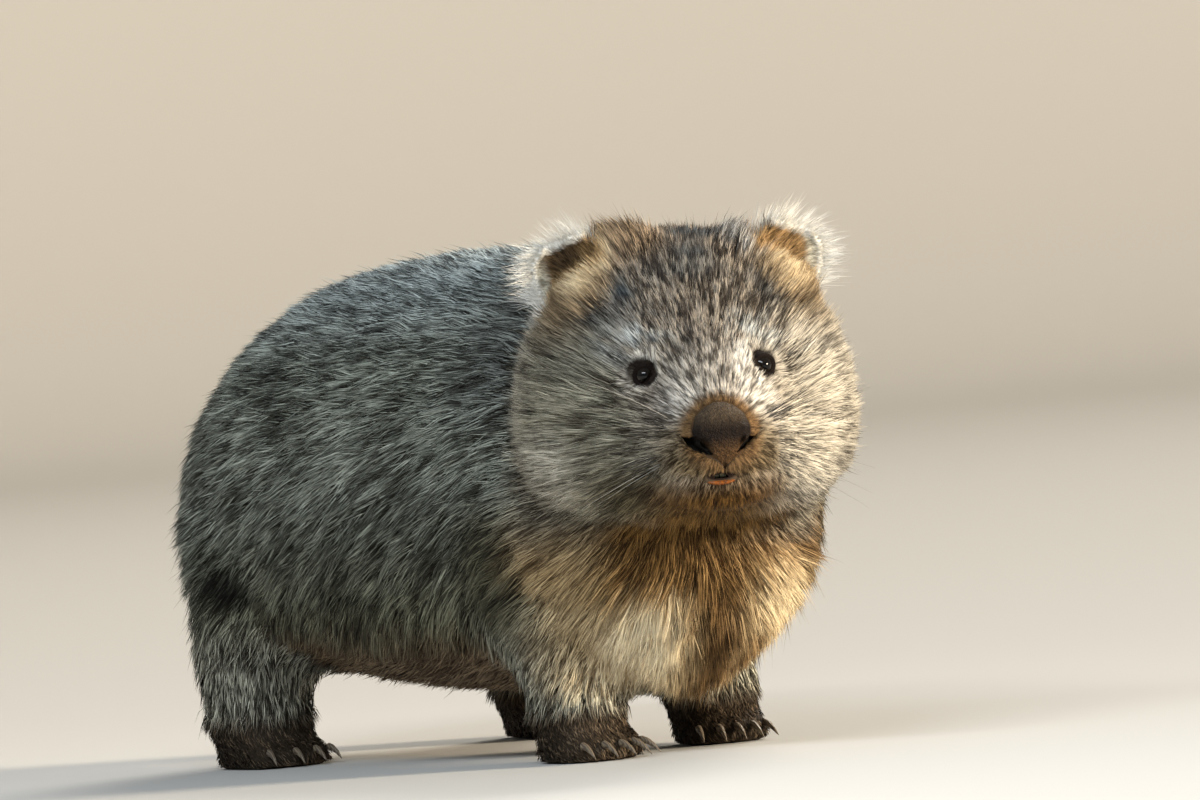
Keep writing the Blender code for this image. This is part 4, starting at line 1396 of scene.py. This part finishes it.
def hairReach(length, depth, lock, lift, plan, rng):
    # how far each hair runs and rises, and which are short underfur, strays or guard hairs
    count = len(length)
    kind = rng.uniform(0, 1, count)
    kinds = {"under": kind < plan["underShare"], "stray": kind > plan["strayFrom"]}
    long = length * lock["long"] * rng.uniform(0.88, 1.10, count) * byKind(kinds, "long")
    rise = depth * lock["lift"] * lift * byKind(kinds, "rise") * rng.uniform(0.90, 1.08, count)
    guard = rng.uniform(0, 1, count)
    kinds["darkGuard"] = guard < plan["darkGuard"]
    kinds["paleGuard"] = guard > plan["paleGuardFrom"]
    longer = np.where(kinds["darkGuard"] | kinds["paleGuard"], plan["guardLonger"], 1.0)
    long, rise = long * longer, rise * longer
    run = np.sqrt(np.maximum(long ** 2 - rise ** 2, (0.5 * long) ** 2))
    return run, rise, kinds


def alongHair(root, flow, normal, run, rise):
    # where a hair's bend and tip fall
    bend = root + flow * (0.45 * run)[:, None] + normal * (0.68 * rise)[:, None]
    tip = root + flow * run[:, None] + normal * rise[:, None]
    return bend, tip


def hairLine(roots, flow, facing, run, rise, lock, stray, gather, rng):
    # draws each hair towards its lock's own line, the tip more than the bend
    bend, tip = alongHair(roots, flow, facing, run, rise)
    lockBend, lockTip = alongHair(lock["root"], lock["flow"], lock["normal"], run, rise)
    drawn = gather * rng.uniform(0.5, 1.0, len(roots))
    drawn = np.where(stray, 0.0, drawn)[:, None]
    tip = tip + drawn * (lockTip - tip)
    bend = bend + 0.35 * drawn * (lockBend - bend)
    tip[:, 2] = np.maximum(tip[:, 2], 0.0015)
    bend[:, 2] = np.maximum(bend[:, 2], 0.0015)
    return bend, tip


def hairBlades(roots, bend, tip, facing, width, kinds, rng):
    # four points for each hair, and the normal that shades it
    count = len(roots)
    roll = rng.normal(0, 0.75, count)
    line = unit(tip - roots)
    across = unit(np.cross(line, facing))
    flat = np.cross(across, line)
    across = across * np.cos(roll)[:, None] + flat * np.sin(roll)[:, None]
    wide = width * byKind(kinds, "wide")
    half = across * (wide * rng.uniform(0.8, 1.2, count) / 2)[:, None]
    faceWay = np.cross(half, tip - roots)
    half = np.where(((faceWay * facing).sum(1) < 0)[:, None], -half, half)
    shade = unit(unit(np.cross(half, tip - roots)) * 0.55 + facing)
    return np.stack([roots, bend + half, bend - half, tip], 1), shade


def hairColours(dark, pale, tone, kinds, darkTipShare, rng):
    # the colour of each hair's four points: dark at the root, partly its own colour and partly painted
    # shade, and a few with a dark tip
    plan, count = tonePlan, len(tone)
    tone = tone + plan["scatter"] * rng.normal(0, 1, count)
    tone = np.where(kinds["paleGuard"], tone + plan["paleGuard"], tone)
    tone = np.where(kinds["darkGuard"], plan["darkGuard"], tone)
    # painted shade: underfur darker, as deep in the coat
    tone = np.where(kinds["under"], tone * plan["under"], tone)
    tone = np.clip(tone, 0, 1)[:, None]
    body = dark + tone * (pale - dark)
    # the root: its own darker colour, then darkened again as painted shade near the skin
    base = (dark + plan["rootTone"] * tone * (pale - dark)) * plan["rootShade"]
    darkTip = (rng.uniform(0, 1, count) < darkTipShare)[:, None]
    top = np.where(darkTip, body * plan["darkTip"], body + plan["tipPaler"] * (pale - body))
    return np.stack([base, body, body, top], 1)


def bladeMesh(name, blades, colours, shade, patches):
    count = len(blades)
    first = np.arange(count)[:, None] * 4
    faces = np.concatenate([first + (0, 1, 2), first + (2, 1, 3)], 1)
    mesh = bpy.data.meshes.new(name)
    mesh.vertices.add(count * 4)
    mesh.vertices.foreach_set("co", blades.astype(np.float32).ravel())
    mesh.loops.add(count * 6)
    mesh.loops.foreach_set("vertex_index", faces.astype(np.int32).ravel())
    mesh.polygons.add(count * 2)
    mesh.polygons.foreach_set("loop_start", np.arange(count * 2, dtype=np.int32) * 3)
    mesh.update(calc_edges=True)
    paint(mesh, "coatColour", colours.reshape(-1, 3))
    corner = np.array([[0.0, -0.5], [0.5, 0.0], [-0.5, 0.0], [0.0, 0.5]]) * patchSize
    spots = np.stack(patches, 1)[:, None, :] + corner[None]
    layer = mesh.uv_layers.new(name="OFBake")
    layer.data.foreach_set("uv", spots.reshape(-1, 2)[faces.ravel()].astype(np.float32).ravel())
    mesh.shade_smooth()
    mesh.normals_split_custom_set_from_vertices(np.repeat(shade, 4, axis=0).tolist())
    mesh.materials.append(hairFinish)
    return mesh


def buildCoat(name, weights, count, ownPlan, centre, axis, seed):
    plan = {**hairPlan, **ownPlan}
    rng = np.random.default_rng(seed)
    roots, facing = pickRoots(weights, count, rng)
    flow = hairFlow(roots, facing)
    depth, length, width, contrast = hairSizes(roots, facing, rng)
    lock = lockShapes(roots, facing, flow, length, plan["swing"], rng)
    streaks = hairStreaks(roots, flow, length, plan["streak"])
    run, rise, kinds = hairReach(length, depth, lock, streaks["lift"], plan, rng)
    swing = 0.6 * lock["swing"] + 0.07 * streaks["swing"] + 0.03 * rng.normal(0, 1, count)
    flow = unit(flow + np.cross(facing, flow) * swing[:, None])
    over = eyeMask(alongHair(roots, flow, facing, run, rise)[1], 0.0090, 0.0098, 0.25)
    run, rise = run * (1 - 0.70 * over), rise * (1 - 0.50 * over)  # none reach across an eye
    bend, tip = hairLine(roots, flow, facing, run, rise, lock, kinds["stray"], plan["gather"], rng)
    roots = roots - facing * 0.0006  # the root ends just under the skin
    blades, shade = hairBlades(roots, bend, tip, facing, width, kinds, rng)
    dark, pale, share = markings(roots + flow * (0.40 * run)[:, None], facing)
    tone = share + plan["lockTone"] * lock["tone"] + 0.20 * bands(roots)
    tone = tone + contrast * streaks["tone"] + 0.5 * contrast * streaks["broad"]
    colours = hairColours(dark, pale, tone, kinds, plan["darkTip"], rng)
    mesh = bladeMesh(name, blades, colours, shade, patchMap(roots, facing, centre, axis))
    handIn(newObject(name, mesh))
    print(name, count * 2, "triangles")


def bareSkin(mids, head):
    # the triangles that carry no hair: eyes, nose pad, nostrils, mouth and soles
    forward, left, up = head.T
    bare = np.zeros(len(mids), bool)
    for _, side, sign in sides:
        far = np.linalg.norm(mids - np.array(eyeCentre(side, sign)), axis=1)
        bare |= far < eyeRadius + eyePlan["bareEdge"][side]
    pad = blob(head, (0.066, 0, -0.044), (0.040, 0.0205, 0.0205), 0.02) > 0.5
    underPad = (np.abs(left) < 0.9 * (up + 0.0705)) & (up < -0.050) & (forward > 0.040)
    bare |= (pad & (forward > 0.030)) | underPad
    bare |= nostrilMask(head) > 0.2
    bare |= blob(head, mouthPlan["place"], (0.030, 0.0135, 0.0062), 0.05) > 0.5
    bare |= mids[:, 2] < 0.0020
    return bare


def bodyCoat(mids, out, region, body):
    # parts the coat of the body into chest, legs, rump, belly, back and flanks
    x, y, z = mids.T
    chest = body & ((region["chest"] > 0.3) | ((y < -0.215) & (z < 0.19)))
    legs = body & ~chest & (region["leg"] > 0.3)
    rest = body & ~chest & ~legs
    behind = y > (rumpEnd + chestFront) / 2 + 0.16
    trunk = rest & ~behind & (out[:, 2] >= -0.55)
    return {
        "coatChest": chest,
        "coatLegs": legs,
        "coatRump": rest & behind,
        "coatBelly": rest & ~behind & (out[:, 2] < -0.55),
        "coatBack": trunk & (out[:, 2] > 0.72),
        "coatFlankRight": trunk & (out[:, 2] <= 0.72) & (x < 0),
        "coatFlankLeft": trunk & (out[:, 2] <= 0.72) & (x >= 0),
    }


def coatRegions():
    # one weight for each piece of coat, on every triangle of the skin
    mids, out = triangleMiddles, triangleNormals
    region, ears, head = regionMasks(mids, out), earMasks(mids, out), inHead(mids)
    left, up = head[:, 1], head[:, 2]
    onEar = (ears["earHollow"] + ears["earBack"] + ears["earRim"]) > 0.3
    onHead = ~onEar & (region["cheek"] > 0.35)
    small = (region["bridge"] + region["muzzle"] + region["noseRim"] + region["eyeRing"]) > 0.35
    high = up > 0.012 + 0.35 * np.abs(left)
    cheeks = onHead & ~small & ~high
    parts = {"coatEars": onEar, "coatMuzzle": onHead & small, "coatCrown": onHead & ~small & high,
             "coatCheekRight": cheeks & (left < 0), "coatCheekLeft": cheeks & (left >= 0)}
    parts.update(bodyCoat(mids, out, region, ~onHead & ~onEar))
    haired = ~bareSkin(mids, head)
    weights = {name: (mask & haired).astype(float) for name, mask in parts.items()}
    fine = 1 + 1.8 * region["noseRim"] + 0.8 * region["bridge"] + 1.2 * region["eyeRing"]
    weights["coatMuzzle"] = weights["coatMuzzle"] * fine
    return weights


# For each piece of coat: its number of hairs, what differs from hairPlan, and the middle and
# the axis of the unwrap that orders its patches
headCentre = headPoint(-0.06, 0, -0.02)
trunkCentre = Vector((0, 0.05, 0.22))
alongHead, alongBody, upright = tuple(headForward), (0, 1, 0), (0, 0, 1)
muzzleHair = {"gather": 0.30, "swing": 0.08, "underShare": 0.30, "lockTone": 0.05, "darkGuard": 0.02}
crownHair = {"gather": 0.40, "swing": 0.15, "lockTone": 0.07, "streak": 0.24, "darkTip": 0.20,
             "darkGuard": 0.09}
cheekHair = {"gather": 0.40, "swing": 0.13, "lockTone": 0.07}
earHair = {"gather": 0.35, "underShare": 0.30, "darkGuard": 0.0}
coatPieces = {
    "coatMuzzle": (62000, muzzleHair, headCentre, alongHead),
    "coatCrown": (90000, crownHair, headCentre, alongHead),
    "coatCheekRight": (72000, cheekHair, headCentre, alongHead),
    "coatCheekLeft": (68000, cheekHair, headCentre, alongHead),
    "coatEars": (40000, earHair, headPoint(-0.1, 0, 0.06), tuple(headUp)),
    "coatChest": (68000, {"gather": 0.60}, trunkCentre, upright),
    "coatFlankRight": (96000, {}, trunkCentre, alongBody),
    "coatFlankLeft": (70000, {}, trunkCentre, alongBody),
    "coatBack": (58000, {}, trunkCentre, alongBody),
    "coatRump": (72000, {}, trunkCentre, upright),
    "coatBelly": (20000, {}, trunkCentre, upright),
    "coatLegs": (40000, {}, Vector((0, 0.06, 0)), upright),
}

coatWeights = coatRegions()
for number, (name, (count, plan, centre, axis)) in enumerate(coatPieces.items()):
    area = (triangleAreas * (coatWeights[name] > 0)).sum()
    print(name, "area", round(area * 1e4), "cm2")
    buildCoat(name, coatWeights[name], count, plan, centre, axis, 100 + number)

# Whiskers: tapered three-sided hairs that fan out of the muzzle's sides, most of them dark

whiskerPlan = {"count": 40, "length": (0.036, 0.096), "radius": 0.00026, "steps": 9,
               "dark": (0.020, 0.016, 0.012), "pale": (0.600, 0.580, 0.530), "paleShare": 0.10,
               "sag": 0.10, "swept": 0.42}


def whiskerLine(number, rng):
    # one whisker's points from root to tip in the head's axes, and its colour
    plan = whiskerPlan
    sign = -1 if number % 2 else 1
    row = (number // 2) / plan["count"]
    fan = rng.uniform(-1, 1)
    root = np.array([0.046 - 0.010 * row + 0.004 * fan, sign * (0.0285 + 0.010 * row),
                     -0.050 + 0.016 * fan])
    shortest, longest = plan["length"]
    long = shortest + (longest - shortest) * rng.uniform() ** 1.3
    way = np.array([0.30 + 0.15 * rng.normal(), sign * 1.0, 0.10 + 0.62 * fan])
    way = way / np.linalg.norm(way)
    pale = rng.uniform() < plan["paleShare"] and long > 0.055
    colour = np.array(plan["pale"] if pale else plan["dark"]) * rng.uniform(0.8, 1.2)
    spine = []
    for t in (step / plan["steps"] for step in range(plan["steps"] + 1)):
        bow = np.array([-plan["swept"] * long * t * t, 0, -plan["sag"] * long * t * t])
        spine.append(root + (way * t * long + bow))
    return spine, colour


def whiskerMesh():
    # three points round each step of every whisker, joined by faces and closed at both ends
    plan = whiskerPlan
    rng = np.random.default_rng(77)
    places, colours, faces, uvs = [], [], [], []
    steps = plan["steps"]
    for number in range(2 * plan["count"]):
        spine, colour = whiskerLine(number, rng)
        base = len(places)
        cell = (number % 8 + 0.5) / 8, (number // 8 + 0.5) / 8
        for step, spot in enumerate(spine):
            t = step / steps
            thick = plan["radius"] * (1 - 0.88 * t)
            for corner in range(3):
                angle = 2 * math.pi * corner / 3
                aside = np.array([math.cos(angle), 0, math.sin(angle)]) * thick
                places.append(tuple(headPoint(*(spot + aside))))
                colours.append(colour * (0.7 + 0.5 * t))
                uvs.append((cell[0] + (corner - 1) * 0.001, cell[1] + (t - 0.5) * patchSize))
        for a in range(base, base + steps * 3):
            b = a + 1 if (a - base) % 3 < 2 else a - 2
            faces.append((a, b, b + 3, a + 3))
        last = base + steps * 3
        faces += [(base + 2, base + 1, base), (last, last + 1, last + 2)]
    mesh = bpy.data.meshes.new("whiskers")
    mesh.from_pydata(places, [], faces)
    paint(mesh, "coatColour", np.array(colours))
    layer = mesh.uv_layers.new(name="OFBake")
    for loop in mesh.loops:
        layer.data[loop.index].uv = uvs[loop.vertex_index]
    return mesh


def buildWhiskers():
    whiskers = newObject("whiskers", whiskerMesh())
    reshape(whiskers, lambda bm: bmesh.ops.recalc_face_normals(bm, faces=bm.faces))
    whiskers.data.shade_smooth()
    wear(whiskers, paintedFinish("whiskerHair"))
    handIn(whiskers)


buildWhiskers()

print("coat ready")
